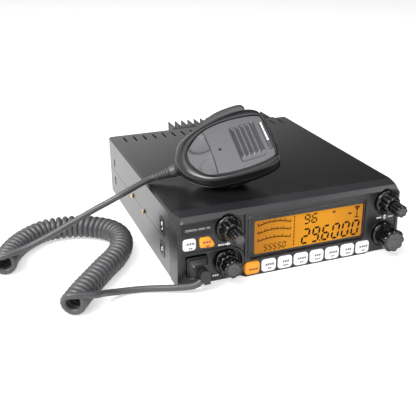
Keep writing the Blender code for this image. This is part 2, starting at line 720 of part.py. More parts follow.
def make_rear_sockets():
    y = CASE_REAR + GAP
    profile = [
        (0, y + 9), (2.0, y + 9), (4.6, y + 9), (5.4, y + 9), (5.4, y + 18), (7.9, y + 18), (7.9, y + 2.4),
        (11.8, y + 2.4), (11.8, y), (6.0, y), (6.0, y - 4), (0, y - 4),
    ]
    x, z = ANTENNA_AT
    add_mesh("antenna_socket", turned(profile, 28), CHROME, at=(x, 0, z))
    for name, (x, z) in (("speaker_jack", SPEAKER_JACK_AT), ("pa_jack", PA_JACK_AT)):
        profile = [
            (0, y - 9), (1.8, y - 9), (1.8, y + 2.2), (3.4, y + 2.2), (4.4, y + 1.6), (4.4, y),
            (3.0, y), (3.0, y - 2.6), (4.6, y - 2.6), (4.6, y - 11), (0, y - 11),
        ]
        add_mesh(name, turned(profile, 20), CHROME, at=(x, 0, z))
    x, z = DC_SOCKET_AT
    shroud = [
        at_depth(rounded(0, 0, 16.0, 10.0, 1.2), y - 6), at_depth(rounded(0, 0, 16.0, 10.0, 1.2), y),
        at_depth(rounded(0, 0, 21.0, 14.0, 1.6), y), at_depth(rounded(0, 0, 21.0, 14.0, 1.6), y + 10),
        at_depth(rounded(0, 0, 17.0, 10.0, 1.0), y + 10), at_depth(rounded(0, 0, 17.0, 10.0, 1.0), y + 1.5),
    ]
    add_mesh("dc_socket", loft(shroud), BLACK_PLASTIC, at=(x, 0, z))


def make_inside():
    board = box(-94, 94, 22, 214, 31.0, 32.6)
    add_mesh("main_board", board, BOARD_GREEN)
    profile = [
        (0, -24.0), (17.0, -24.0), (18.0, -23.0), (18.0, -14.0), (17.0, -13.0), (17.5, -11.0), (30.0, -4.6),
        (33.0, -4.0), (33.0, -2.0), (29.0, -2.0), (8.0, -9.0), (0, -8.0),
    ]
    bm = turned(profile, 32)
    stand = Matrix.Rotation(math.radians(-90), 4, "X")
    bmesh.ops.transform(bm, matrix=stand, verts=bm.verts)
    add_mesh("speaker", bm, BLACK_PLASTIC, at=(0, SPEAKER_Y, 0))


# ---------------------------------------------------------------- hand microphone
def smooth_loop(points, steps=2):
    """A closed smooth curve through the points, with this many points for each of them."""
    count = len(points)
    loop = []
    for i in range(count):
        a, b, c, d = (Vector(points[(i + k) % count]) for k in (-1, 0, 1, 2))
        loop += [catmull(a, b, c, d, step / steps) for step in range(steps)]
    return loop


def between(one, two, share):
    """The plan that lies this share of the way from one plan to another."""
    return [a.lerp(b, share) for a, b in zip(one, two)]


def inset(plan, amount):
    """The plan moved in by amount, square to its own edge."""
    count = len(plan)
    moved = []
    for i in range(count):
        along = (plan[(i + 1) % count] - plan[i - 1]).normalized()
        # The plans run clockwise seen from the face, so their inner side is on the right.
        moved.append(plan[i] + Vector((along.y, -along.x)) * amount)
    return moved


def scaled(plan, share):
    middle = Vector(MIC_MIDDLE)
    return [middle + (point - middle) * share for point in plan]


def level(plan, w):
    return [(point.x, point.y, w) for point in plan]


def sloped(plan, share):
    """The plan as a ring at this share of the rear shell's depth, which is less at the cable end."""
    ring = []
    for point in plan:
        depth = MIC_SPLIT - MIC_BACK - THIN_SLOPE * max(0.0, THIN_FROM - point.x)
        ring.append((point.x, point.y, MIC_SPLIT - GAP - share * depth))
    return ring


def add_slab(bm, outline, low, high):
    """A solid with the (long, across) outline, between two heights over the microphone's face."""
    add_loft(bm, [[(u, v, w) for u, v in outline] for w in (low, high)])


def make_mic_frame():
    long_axis = Vector(MIC_LONG).normalized()
    face_axis = long_axis.cross(Vector(MIC_ACROSS)).normalized()
    across = face_axis.cross(long_axis)
    pose = Matrix((long_axis, across, face_axis)).transposed().to_4x4()
    pose.translation = place(MIC_ORIGIN)
    frame = bpy.data.objects.new("mic_frame", None)
    bpy.context.collection.objects.link(frame)
    frame.matrix_world = pose
    return frame


def talk_slot():
    """The space that the talk key swings in, deeper at the key's free end."""
    bm = bmesh.new()
    outline = [(34.0, 36.4), (8.0, 33.4), (-19.1, 26.8), (-19.1, MIC_BEYOND), (34.0, MIC_BEYOND)]
    add_slab(bm, outline, KEY_LOW - 0.4, KEY_HIGH + 0.4)
    return bm


def step_key_places():
    return [STEP_KEY_MIDDLE + side * STEP_KEY_SPACING / 2 for side in (1, -1)]


def make_mic_shells(frame):
    face, body, back = (smooth_loop(plan) for plan in (FACE_PLAN, BODY_PLAN, BACK_PLAN))
    front = [
        level(scaled(face, 0.72), -4.0), level(inset(body, MIC_WALL + 3.0), -5.6),
        level(inset(body, MIC_WALL), MIC_SPLIT), level(inset(body, 0.2), MIC_SPLIT), level(body, -7.4),
        level(between(body, face, 0.10), -4.4), level(between(body, face, 0.55), -2.2),
        level(inset(face, -1.7), -0.4), level(inset(face, -GAP), 0.3), level(inset(face, -GAP), -1.9),
    ]
    front_shell = add_mesh("mic_front_shell", loft(front), MIC_PLASTIC, parent=frame)
    rear = [
        sloped(scaled(back, 0.8), 0.88), sloped(inset(between(body, back, 0.55), MIC_WALL), 0.60),
        sloped(inset(body, MIC_WALL), 0.0), sloped(inset(body, 0.2), 0.0), sloped(body, 0.10),
        sloped(between(body, back, 0.14), 0.34), sloped(between(body, back, 0.45), 0.64),
        sloped(between(body, back, 0.78), 0.88), sloped(back, 1.0),
    ]
    rear_shell = add_mesh("mic_rear_shell", loft(rear), MIC_PLASTIC, parent=frame)
    for shell, word in ((front_shell, "front"), (rear_shell, "rear")):
        cut(shell, talk_slot(), f"mic_{word}_talk_slot", frame)
    slots = bmesh.new()
    low, high = STEP_KEY_HEIGHTS
    pocket = STEP_KEY_AT - STEP_KEY_LENGTH - STEP_KEY_TRAVEL - 2 * GAP
    for v in step_key_places():
        near, far = v - STEP_KEY_HALF - GAP, v + STEP_KEY_HALF + GAP
        outline = [(pocket, near), (MIC_BEYOND, near), (MIC_BEYOND, far), (pocket, far)]
        add_slab(slots, outline, low - GAP, high + GAP)
    cut(front_shell, slots, "mic_key_slots", frame)
    neck = turned([(0, -9.0), (NECK_RADIUS, -9.0), (NECK_RADIUS, -GAP), (0, -GAP)], 20)
    turn = Matrix.Rotation(math.radians(90), 4, "Z")
    bmesh.ops.transform(neck, matrix=turn, verts=neck.verts)
    bmesh.ops.translate(neck, vec=RELIEF_AT, verts=neck.verts)
    join(rear_shell, neck, "mic_neck", frame)


def make_mic_plate(frame):
    face = smooth_loop(FACE_PLAN)
    plate = [level(face, -1.6), level(face, -0.4), level(inset(face, 0.6), 0.0)]
    made = add_mesh("mic_face_plate", loft(plate), MIC_GREY, parent=frame)
    slots = bmesh.new()
    near, far = GRILLE_SLOT_ENDS
    for i in range(GRILLE_SLOTS):
        u = GRILLE_FIRST + GRILLE_PITCH * i
        end = u + GRILLE_SLOT_WIDTH
        add_slab(slots, [(u, near), (end, near), (end, far), (u, far)], -GRILLE_DEPTH, 3.0)
    cut(made, slots, "mic_grille_slots", frame)


def make_talk_key(frame):
    outline = [(u - KEY_HINGE[0], v - KEY_HINGE[1]) for u, v in KEY_OUTER + KEY_INNER]
    eased = shrunk(outline, 0.6)
    edge = 0.8
    levels = [(eased, KEY_LOW), (outline, KEY_LOW + edge), (outline, KEY_HIGH - edge), (eased, KEY_HIGH)]
    rings = [[(u, v, w) for u, v in plan] for plan, w in levels]
    add_mesh("talk_key", loft(rings), MIC_GREY, at=(*KEY_HINGE, 0.0), parent=frame)


def make_mic_parts(frame):
    low, high = STEP_KEY_HEIGHTS
    back, half = -STEP_KEY_LENGTH, STEP_KEY_HALF
    key = [(back, -half), (1.0, -half), (1.6, 0.6 - half), (1.6, half - 0.6), (1.0, half), (back, half)]
    for v, name in zip(step_key_places(), ("mic_up_key", "mic_down_key")):
        bm = bmesh.new()
        add_slab(bm, key, low, high)
        add_mesh(name, bm, MIC_PLASTIC, at=(STEP_KEY_AT, v, 0.0), parent=frame)
    bm = bmesh.new()
    add_slab(bm, [(-20.0, -15.0), (34.0, -20.0), (34.0, 26.0), (-20.0, 22.0)], -13.0, -11.6)
    add_mesh("mic_board", bm, BOARD_GREEN, parent=frame)
    bm = bmesh.new()
    add_slab(bm, circle(0, 0, 4.9, 20), -11.2, -5.2)
    add_mesh("mic_cartridge", bm, PLATED_STEEL, parent=frame)
    top = MIC_BACK - 2 * GAP
    stud = [(0, top), (3.4, top), (3.4, -34.4), (5.6, -34.4), (6.0, -35.4), (5.2, -37.8), (0, -38.0)]
    bm = turned([(r, -w) for r, w in stud], 24)
    stand = Matrix.Rotation(math.radians(-90), 4, "X")
    bmesh.ops.transform(bm, matrix=stand, verts=bm.verts)
    add_mesh("mic_hanger_stud", bm, CHROME, at=(14.0, 4.0, 0.0), parent=frame)


def make_strain_relief(frame):
    """A tapered sleeve with five ribs, from the microphone to the cord."""
    profile = [(0, 0.0), (5.0, 0.0), (5.2, 0.8), (4.6, 5.6)]
    for rib in range(5):
        start = 6.4 + 2.3 * rib
        wide = 4.5 - 0.28 * rib
        slim = wide - 0.9
        profile += [(slim, start), (wide, start + 0.4), (wide, start + 1.1), (slim, start + 1.5)]
    profile += [(2.9, RELIEF_LENGTH), (0, RELIEF_LENGTH)]
    bm = turned(profile, 20)
    turn = Matrix.Rotation(math.radians(90), 4, "Z")
    bmesh.ops.transform(bm, matrix=turn, verts=bm.verts)
    add_mesh("mic_strain_relief", bm, CORD_RUBBER, at=RELIEF_AT, parent=frame)


# ---------------------------------------------------------------- cord
def make_plug():
    """A modular plug in a square rubber boot, its cord turned down out of a round-headed spout."""
    x0, x1, z0, z1 = SOCKET_BOX
    cx, cz = (x0 + x1) / 2, (z0 + z1) / 2
    wide, tall = x1 - x0 - 2 * GAP, z1 - z0 - 2 * GAP

    def square(width, height, y, dx=0.0, dz=0.0):
        return at_depth(rounded(dx, dz, width, height, 0.8, 1), y)

    rings = [
        square(11.6, 8.2, 11.9), square(11.6, 8.2, 6.0), square(wide, tall, 6.0), square(wide, tall, 0.4),
        square(wide - 1.4, tall - 1.4, 0.0), square(wide - 1.6, tall - 1.6, -2.2),
        square(wide - 5.0, tall - 6.0, -5.0, 0.4, -0.8), square(wide - 5.6, tall - 6.6, -6.0, 0.4, -0.8),
    ]
    plug = add_mesh("mic_plug", loft(rings), CORD_RUBBER, at=(cx, 0, cz))
    spout = bmesh.new()
    mouth_x, mouth_y, mouth_z = PLUG_MOUTH
    way_x, _, way_z = PLUG_MOUTH_WAY
    half = 2.9
    left, right = mouth_x + half * way_z, mouth_x - half * way_z
    head = [(left, mouth_z - half * way_x), (right, mouth_z + half * way_x)]
    middle = left + SPOUT_RADIUS
    head.append((middle + SPOUT_RADIUS, mouth_z + half * way_x))
    for step in range(9):
        angle = math.pi * step / 8
        head.append((middle + SPOUT_RADIUS * math.cos(angle), 14.6 + SPOUT_RADIUS * math.sin(angle)))
    add_prism(spout, head, mouth_y - 3.2, -4.0)
    join(plug, spout, "mic_plug_spout")


def make_cord():
    # Each lead leaves its exit straight, then follows the curve through its other points.
    for name, points, spacing in (("cord_to_mic", LEAD_TO_MIC, 11.0), ("cord_to_plug", LEAD_TO_PLUG, 8.0)):
        route = [Vector(points[0]), *smooth_route(points[1:], spacing)]
        tube(name, route, WIRE_RADIUS, 2, CORD_RUBBER)
    centre = [(x, y, COIL_HEIGHT) for x, y in COIL_ROUTE]
    tube("cord_coil", smooth_route(centre, 14.0), COIL_RADIUS, 4, CORD_RUBBER)


# ---------------------------------------------------------------- build
for old in list(bpy.data.objects):
    bpy.data.objects.remove(old, do_unlink=True)

CUTTER = material("cutter", (1.0, 0.2, 0.2), 0.5)
COVER_PAINT = material("cover_paint", (0.018, 0.018, 0.020), 0.38, 0.3)
PANEL_PLASTIC = material("panel_plastic", (0.045, 0.045, 0.050), 0.45)
BLACK_PLASTIC = material("black_plastic", (0.015, 0.015, 0.016), 0.4)
KNOB_PLASTIC = material("knob_plastic", (0.016, 0.016, 0.018), 0.28)
WHITE_PLASTIC = material("white_plastic", (0.86, 0.86, 0.86), 0.35)
ORANGE_PLASTIC = material("orange_plastic", (0.95, 0.38, 0.03), 0.35)
WINDOW_PLASTIC = material("window_plastic", (0.9, 0.9, 0.9), 0.08)
LCD_AMBER = material("lcd_amber", (0.95, 0.50, 0.04), 0.3)
BOARD_GREEN = material("board_green", (0.03, 0.16, 0.07), 0.5)
PLATED_STEEL = material("plated_steel", (0.55, 0.55, 0.56), 0.4, 1.0)
ANODISED = material("anodised_black", (0.02, 0.02, 0.02), 0.45, 0.6)
CHROME = material("chrome", (0.75, 0.75, 0.76), 0.15, 1.0)
BRASS = material("brass", (0.70, 0.50, 0.22), 0.35, 1.0)
MIC_PLASTIC = material("mic_plastic", (0.035, 0.035, 0.038), 0.42)
MIC_GREY = material("mic_grey", (0.12, 0.12, 0.13), 0.45)
CORD_RUBBER = material("cord_rubber", (0.045, 0.045, 0.050), 0.5)

make_chassis()
make_top_cover()
make_bottom_cover()
make_rear_panel()
make_heat_sink()
make_side_screws()
make_bezel()
make_display()
make_buttons()
make_knobs()
make_mic_socket()
make_rear_sockets()
make_inside()
mic_frame = make_mic_frame()
bpy.context.view_layer.update()
make_mic_shells(mic_frame)
make_mic_plate(mic_frame)
make_talk_key(mic_frame)
make_mic_parts(mic_frame)
make_strain_relief(mic_frame)
make_plug()
make_cord()
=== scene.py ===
"""The looks of a mobile radio transceiver with a hand microphone lying on its cover.

Sizes are in millimetres. A point (x, y, z) is in the radio's own terms, as in part.py: x is 0 in the
middle of the case, y is 0 on the front face and grows to the rear, and z is 0 on the ground. The
microphone's parts are in its own frame: long (u), across (v) and out of its face (w).
"""

import json
import math

import bmesh
import bpy
from mathutils import Matrix, Vector


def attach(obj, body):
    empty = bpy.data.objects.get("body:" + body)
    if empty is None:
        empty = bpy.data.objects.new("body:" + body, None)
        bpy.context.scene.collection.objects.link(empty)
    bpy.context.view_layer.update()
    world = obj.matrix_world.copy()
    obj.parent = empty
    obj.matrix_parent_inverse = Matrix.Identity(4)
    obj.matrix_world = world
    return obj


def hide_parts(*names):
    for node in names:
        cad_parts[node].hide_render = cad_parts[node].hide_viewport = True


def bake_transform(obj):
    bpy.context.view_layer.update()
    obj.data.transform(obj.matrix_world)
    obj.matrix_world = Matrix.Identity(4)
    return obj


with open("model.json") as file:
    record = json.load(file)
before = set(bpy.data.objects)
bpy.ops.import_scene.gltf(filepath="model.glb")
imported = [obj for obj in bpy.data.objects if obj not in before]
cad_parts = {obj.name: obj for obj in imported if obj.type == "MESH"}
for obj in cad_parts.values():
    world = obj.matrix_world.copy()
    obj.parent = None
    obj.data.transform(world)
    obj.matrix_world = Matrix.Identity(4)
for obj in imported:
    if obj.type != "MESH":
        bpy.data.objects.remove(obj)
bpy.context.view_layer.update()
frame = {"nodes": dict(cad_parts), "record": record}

MM = 0.001
GAP = 0.3
ORIGIN_Y = 114.0
RADIO = Matrix.Translation((0.0, -ORIGIN_Y * MM, 0.0)) @ Matrix.Scale(MM, 4)

# ---- Camera ----
CAMERA_TARGET = (-30.2, 120.0, 9.4)
CAMERA_YAW = -20.22
CAMERA_PITCH = 23.6
CAMERA_ROLL = -0.54
CAMERA_DISTANCE = 658.3
CAMERA_LENS = 59.75

# ---- Front panel: the surfaces' depths, and the places of what is on it ----
SIDE_FACE = 1.5
LOW_FACE = 3.0
WINDOW = (-40.0, 65.0, 15.0, 51.0)
LIT = (-34.9, 63.2, 17.6, 46.6)
GLASS_BACK = 1.8
DISPLAY_FACE = 2.1
ROW_COUNT = 8
ROW_FIRST_X = -37.2
ROW_PITCH = 14.53
ROW_Z = 7.1
ROW_SIZE = (12.8, 11.2)
BUTTON_PROUD = 1.5
BUTTON_EDGE = 1.5
FUNCTION_BUTTON = (-89.35, 36.2, 10.6, 9.8)
BAND_BUTTON = [(-81.0, 32.0), (-69.6, 31.4), (-68.3, 33.4), (-72.6, 40.6), (-81.2, 40.8)]
KNOB_UPPER_LEFT = (-57.5, 45.5)
KNOB_LOWER_LEFT = (-58.5, 16.0)
KNOB_UPPER_RIGHT = (85.0, 45.0)
KNOB_CHANNEL = (84.5, 16.0)

# ---- Hand microphone ----
MIC_ORIGIN = (-41.0, 59.9, 88.0)
MIC_LONG = (0.939, -0.197, 0.282)
MIC_ACROSS = (0.047, 0.886, 0.462)
MIC_SPLIT = -8.6
MIC_BACK = -27.0
MIC_MIDDLE = (5.0, 2.0)
FACE_PLAN = [
    (-27.8, 3.0), (-25.0, 12.5), (-17.5, 20.5), (-6.8, 26.6), (5.0, 28.8), (18.0, 28.7), (31.0, 26.6),
    (38.9, 24.1), (42.2, 19.0), (42.8, 1.0), (41.2, -18.5), (37.6, -24.4), (20.0, -26.9), (-1.0, -25.3),
    (-16.0, -20.0), (-25.0, -9.0),
]
BODY_PLAN = [
    (-39.0, 5.0), (-37.0, 15.5), (-31.5, 26.0), (-20.0, 32.6), (-5.0, 37.4), (11.0, 40.6), (25.0, 41.0),
    (36.5, 38.0), (42.6, 29.5), (45.0, 4.0), (43.6, -22.0), (39.4, -29.2), (22.0, -31.6), (-2.0, -30.2),
    (-20.0, -25.5), (-34.5, -11.5),
]
BACK_PLAN = [
    (-22.0, 5.0), (-20.5, 12.0), (-16.0, 19.0), (-8.0, 24.0), (2.0, 27.0), (12.0, 28.0), (22.0, 27.0),
    (29.0, 24.0), (33.0, 18.0), (35.0, 4.0), (34.0, -10.0), (30.0, -15.0), (18.0, -17.0), (4.0, -16.0),
    (-9.0, -13.0), (-19.0, -6.0),
]
GRILLE_MIDDLE = (23.6, -0.2)
GRILLE_HALF = (10.9, 20.2)
GRILLE_CORNER = 3.0
GRILLE_SLOT = (-14.0, 17.0)
GRILLE_FIRST = 15.3
GRILLE_PITCH = 4.25
GRILLE_SLOTS = 5
THIN_FROM = 14.0
THIN_SLOPE = 0.15
KEY_OUTER = [
    (-18.5, 33.4), (-12.0, 37.6), (-5.7, 41.2), (8.0, 46.2), (22.6, 47.2), (31.0, 45.8), (33.4, 42.0),
]
KEY_INNER = [(33.4, 37.0), (8.0, 35.0), (-18.5, 29.4)]
KEY_LOW = -15.5
KEY_HIGH = -3.4
RELIEF_AT = (-40.4, 6.0, -13.6)
RELIEF_LENGTH = 18.3

# ---- Studio ----
FLOOR_HALF = 6.0
FLOOR_GLOW = 0.54
WALL_SLOPE = 0.60
WALL_EDGE = (0.46, 0.53)
WALL_LIGHT = 1.15
DARK_LIGHT = 0.06
# Each soft box's place and size in metres, and its power in watts.
SOFT_BOXES = {
    "overhead": ((-0.35, -0.25, 1.5), (1.8, 1.5), 28),
    "spark": ((0.96, -0.53, 1.31), (0.35, 0.35), 6),
    "key": ((-1.0, -0.3, 1.05), (0.7, 0.7), 20),
}

# ---- Cord, whose leads repeat part.py's routes ----
WIRE_RADIUS = 2.6
COIL_RADIUS = 10.0
COIL_HEIGHT = 10.2
COIL_TURNS = 48
POINTS_PER_TURN = 16
COIL_ROUTE = [
    (-183.0, -9.1), (-172.0, 7.2), (-160.7, 21.8), (-148.0, 38.1), (-137.1, 51.1), (-128.0, 67.4),
    (-124.0, 85.3), (-126.2, 98.7), (-132.8, 109.1), (-144.0, 118.0), (-157.2, 123.8), (-169.6, 125.6),
    (-182.1, 124.9), (-194.8, 117.6), (-207.5, 105.3), (-217.5, 88.6), (-223.3, 71.3),
]
LEAD_TO_MIC = [
    (-91.8, 82.35, 63.1), (-94.2, 82.8, 62.4), (-98.3, 81.9, 61.6), (-102.3, 79.6, 61.2),
    (-108.0, 77.4, 60.0), (-114.0, 75.2, 58.5), (-119.6, 73.4, 57.1), (-125.0, 72.6, 55.1),
    (-134.6, 74.2, 50.1), (-145.2, 75.5, 45.2), (-158.7, 75.9, 39.0), (-171.5, 76.3, 33.0),
    (-184.3, 75.8, 27.5), (-196.9, 75.8, 22.5), (-206.5, 75.0, 19.5),
]
LEAD_TO_PLUG = [
    (-83.9, -8.9, 8.8), (-86.3, -8.9, 7.1), (-89.8, -8.3, 5.7), (-95.5, -6.4, 4.9),
    (-102.5, -3.6, 4.3), (-113.4, 1.6, 3.4), (-125.3, 6.0, 2.9), (-137.4, 7.6, 3.3),
    (-149.0, 5.0, 5.6), (-157.5, -0.5, 9.5), (-165.5, -8.0, 14.0),
]


# ---- Helpers ----
def place(point):
    """The world position, in metres, of a point given in the radio's terms."""
    return RADIO @ Vector(point)


def mic_pose():
    """The matrix from the microphone's own millimetres to the world."""
    long_axis = Vector(MIC_LONG).normalized()
    face_axis = long_axis.cross(Vector(MIC_ACROSS)).normalized()
    across = face_axis.cross(long_axis)
    pose = Matrix((long_axis, across, face_axis)).transposed().to_4x4()
    pose.translation = place(MIC_ORIGIN)
    return pose @ Matrix.Scale(MM, 4)


MIC = mic_pose()


def knob_pose(axis):
    return RADIO @ Matrix.Translation((axis[0], 0.0, axis[1]))


def catmull(a, b, c, d, t):
    """The point this share of the way from b to c on the smooth curve through a, b, c and d."""
    return 0.5 * (
        2 * b + (c - a) * t + (2 * a - 5 * b + 4 * c - d) * t**2 + (3 * b - a - 3 * c + d) * t**3
    )


def smooth_route(points, spacing):
    """Points about spacing apart on the smooth curve through points."""
    pts = [Vector(p) for p in points]
    pts = [pts[0] * 2 - pts[1], *pts, pts[-1] * 2 - pts[-2]]
    fine = []
    for a, b, c, d in zip(pts, pts[1:], pts[2:], pts[3:]):
        fine += [catmull(a, b, c, d, step / 20) for step in range(20)]
    fine.append(pts[-2])
    lengths = [0.0]
    for a, b in zip(fine, fine[1:]):
        lengths.append(lengths[-1] + (b - a).length)
    count = max(2, round(lengths[-1] / spacing))
    route = []
    k = 1
    for i in range(count + 1):
        goal = lengths[-1] * i / count
        while k < len(lengths) - 1 and lengths[k] < goal:
            k += 1
        share = (goal - lengths[k - 1]) / (lengths[k] - lengths[k - 1])
        route.append(fine[k - 1].lerp(fine[k], share))
    return route


def smooth_loop(points, steps=8):
    """A closed smooth curve through the points, with this many points for each of them."""
    count = len(points)
    loop = []
    for i in range(count):
        a, b, c, d = (Vector(points[(i + k) % count]) for k in (-1, 0, 1, 2))
        loop += [catmull(a, b, c, d, step / steps) for step in range(steps)]
    return loop


def between(one, two, share):
    """The plan that lies this share of the way from one plan to another."""
    return [a.lerp(b, share) for a, b in zip(one, two)]


def inset(plan, amount):
    """The clockwise plan moved in by amount, square to its own edge."""
    count = len(plan)
    moved = []
    for i in range(count):
        along = (plan[(i + 1) % count] - plan[i - 1]).normalized()
        moved.append(plan[i] + Vector((along.y, -along.x)) * amount)
    return moved


def level(plan, w):
    return [Vector((point[0], point[1], w)) for point in plan]


def smooth_rings(rings, steps=4):
    """More rings, on the smooth curves through matching points of the given ones."""
    made = []
    last = len(rings) - 1
    for i in range(last):
        a, b, c, d = (rings[min(max(i + k, 0), last)] for k in (-1, 0, 1, 2))
        for step in range(steps):
            t = step / steps
            made.append([catmull(*four, t) for four in zip(a, b, c, d)])
    made.append(rings[last])
    return made


def loft(bm, rings):
    """A closed solid through rings of equal length, its first and last ring capped."""
    loops = [[bm.verts.new(point) for point in ring] for ring in rings]
    count = len(rings[0])
    for low, high in zip(loops, loops[1:]):
        for i in range(count):
            j = (i + 1) % count
            bm.faces.new((low[i], low[j], high[j], high[i]))
    bm.faces.new(loops[0])
    bm.faces.new(loops[-1])
    return bm


def hoop(bm, rings):
    """A closed ring-shaped solid: the last of the rings joins up with the first."""
    loops = [[bm.verts.new(point) for point in ring] for ring in rings]
    count = len(rings[0])
    for one, two in zip(loops, [*loops[1:], loops[0]]):
        for i in range(count):
            j = (i + 1) % count
            bm.faces.new((one[i], one[j], two[j], two[i]))
    return bm


def rounded(cx, cz, width, height, radius, arc_steps=8):
    """The outline of a rectangle with round corners, as (x, z) points."""
    points = []
    for quarter in range(4):
        sx = (1, -1, -1, 1)[quarter]
        sz = (1, 1, -1, -1)[quarter]
        for step in range(arc_steps + 1):
            angle = math.pi / 2 * (quarter + step / arc_steps)
            x = cx + sx * (width / 2 - radius) + radius * math.cos(angle)
            z = cz + sz * (height / 2 - radius) + radius * math.sin(angle)
            points.append((x, z))
    return points


def box_outline(x0, x1, z0, z1, radius):
    return rounded((x0 + x1) / 2, (z0 + z1) / 2, x1 - x0, z1 - z0, radius)


def shrunk(outline, amount):
    """The outline moved in by amount on each side, towards its own middle."""
    xs = [x for x, _ in outline]
    zs = [z for _, z in outline]
    cx, cz = (min(xs) + max(xs)) / 2, (min(zs) + max(zs)) / 2
    kx = 1 - 2 * amount / (max(xs) - min(xs))
    kz = 1 - 2 * amount / (max(zs) - min(zs))
    return [(cx + (x - cx) * kx, cz + (z - cz) * kz) for x, z in outline]


def at_depth(outline, y):
    return [(x, y, z) for x, z in outline]


def prism(bm, outline, y0, y1):
    return loft(bm, [at_depth(outline, y0), at_depth(outline, y1)])


def filleted(profile, size, steps=4):
    """The profile with each of its inner corners rounded off by about size."""
    points = [Vector((*p, 0.0)[:3]) for p in profile]
    made = [points[0]]
    for a, b, c in zip(points, points[1:], points[2:]):
        one = b + (a - b) * min(size / max((a - b).length, 1e-6), 0.45)
        two = b + (c - b) * min(size / max((c - b).length, 1e-6), 0.45)
        for step in range(steps + 1):
            t = step / steps
            made.append(one * (1 - t) ** 2 + b * 2 * t * (1 - t) + two * t**2)
    made.append(points[-1])
    return made


def turned(profile, steps=96, lobes=0, valley=1.0):
    """A solid turned about the Y axis. The profile is (radius, y, lobe depth)."""
    bm = bmesh.new()
    loops = []
    for point in profile:
        radius, y, depth = (*point, 0.0)[:3]
        if radius < 1e-6:
            loops.append([bm.verts.new((0, y, 0))])
            continue
        ring = []
        for i in range(steps):
            angle = 2 * math.pi * i / steps
            dip = 1 - abs(math.cos(lobes * angle / 2)) ** valley
            r = radius - depth * dip
            ring.append(bm.verts.new((r * math.cos(angle), y, r * math.sin(angle))))
        loops.append(ring)
    for one, two in zip(loops, loops[1:]):
        for i in range(steps):
            j = (i + 1) % steps
            if len(one) == 1:
                bm.faces.new((one[0], two[i], two[j]))
            elif len(two) == 1:
                bm.faces.new((one[j], one[i], two[0]))
            else:
                bm.faces.new((one[i], one[j], two[j], two[i]))
    for loop in (loops[0], loops[-1]):
        if len(loop) > 1:
            bm.faces.new(loop)
    return bm


def tube(bm, path, radius, sides, closed=False):
    """A tube along the path, its rings turned as little as they can be from one to the next."""
    rings = []
    across = Vector((0.31, 0.17, 0.93))
    count = len(path)
    for i, point in enumerate(path):
        if closed:
            along = (path[(i + 1) % count] - path[i - 1]).normalized()
        else:
            along = (path[min(i + 1, count - 1)] - path[max(i - 1, 0)]).normalized()
        across = (across - along * across.dot(along)).normalized()
        other = along.cross(across)
        ring = []
        for k in range(sides):
            angle = 2 * math.pi * k / sides
            ring.append(bm.verts.new(point + (across * math.cos(angle) + other * math.sin(angle)) * radius))
        rings.append(ring)
    pairs = list(zip(rings, rings[1:]))
    if closed:
        pairs.append((rings[-1], rings[0]))
    for one, two in pairs:
        for k in range(sides):
            n = (k + 1) % sides
            bm.faces.new((one[k], one[n], two[n], two[k]))
    if not closed:
        bm.faces.new(rings[0][::-1])
        bm.faces.new(rings[-1])
    return bm


def circle(x, y, z, radius, steps=96):
    """Points round a circle that faces front."""
    points = []
    for i in range(steps):
        angle = 2 * math.pi * i / steps
        points.append(Vector((x + radius * math.cos(angle), y, z + radius * math.sin(angle))))
    return points


def new_object(name, data):
    obj = bpy.data.objects.new(name, data)
    bpy.context.collection.objects.link(obj)
    return obj


def mesh_object(name, bm):
    """A new object that has bm as its mesh."""
    mesh = bpy.data.meshes.new(name)
    bm.to_mesh(mesh)
    bm.free()
    return new_object(name, mesh)


def add_piece(name, bm, look, body, pose=RADIO, stands_for=(), smooth_angle=35.0):
    """A piece of the object, from a mesh in millimetres, that rides on a body."""
    bmesh.ops.recalc_face_normals(bm, faces=bm.faces)
    bmesh.ops.transform(bm, matrix=pose, verts=bm.verts)
    obj = mesh_object(name, bm)
    obj.data.shade_smooth()
    obj.data.set_sharp_from_angle(angle=math.radians(smooth_angle))
    obj.data.materials.append(look)
    if body:
        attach(obj, body)
    if stands_for:
        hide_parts(*stands_for)
    return obj


def carve(bm, cutter):
    """Takes the closed solid cutter out of the closed solid bm, and gives the result."""
    objects = []
    for part in (bm, cutter):
        bmesh.ops.recalc_face_normals(part, faces=part.faces)
        objects.append(mesh_object("carve", part))
    modifier = objects[0].modifiers.new("carve", "BOOLEAN")
    modifier.object = objects[1]
    modifier.operation = "DIFFERENCE"
    modifier.solver = "EXACT"
    bpy.context.view_layer.update()
    made = bmesh.new()
    made.from_object(objects[0], bpy.context.evaluated_depsgraph_get())
    for obj in objects:
        bpy.data.objects.remove(obj, do_unlink=True)
    return made


# ---- Materials ----
def add_node(tree, kind, values, linked, **settings):
    """A new shader node, with values set on some of its inputs and other nodes' outputs linked to others."""
    node = tree.nodes.new(f"ShaderNode{kind}")
    for key, value in settings.items():
        setattr(node, key, value)
    for key, value in values.items():
        node.inputs[key].default_value = value
    for key, output in linked.items():
        tree.links.new(output, node.inputs[key])
    return node


def add_noise(tree, size, detail, spot):
    values = {"Scale": 1.0 / (size * MM), "Detail": detail}
    return add_node(tree, "TexNoise", values, {"Vector": spot}).outputs["Fac"]


def ramp(tree, value, low, high, to_low, to_high):
    values = {"From Min": low, "From Max": high, "To Min": to_low, "To Max": to_high}
    return add_node(tree, "MapRange", values, {"Value": value}).outputs["Result"]


def blend_colors(tree, share, low, high):
    values = {"A": (*low, 1.0), "B": (*high, 1.0)}
    return add_node(tree, "Mix", values, {"Factor": share}, data_type="RGBA").outputs["Result"]


def new_material(name):
    """An empty material, with its node tree and its shader."""
    made = bpy.data.materials.new(name)
    made.use_nodes = True
    return made, made.node_tree, made.node_tree.nodes["Principled BSDF"]


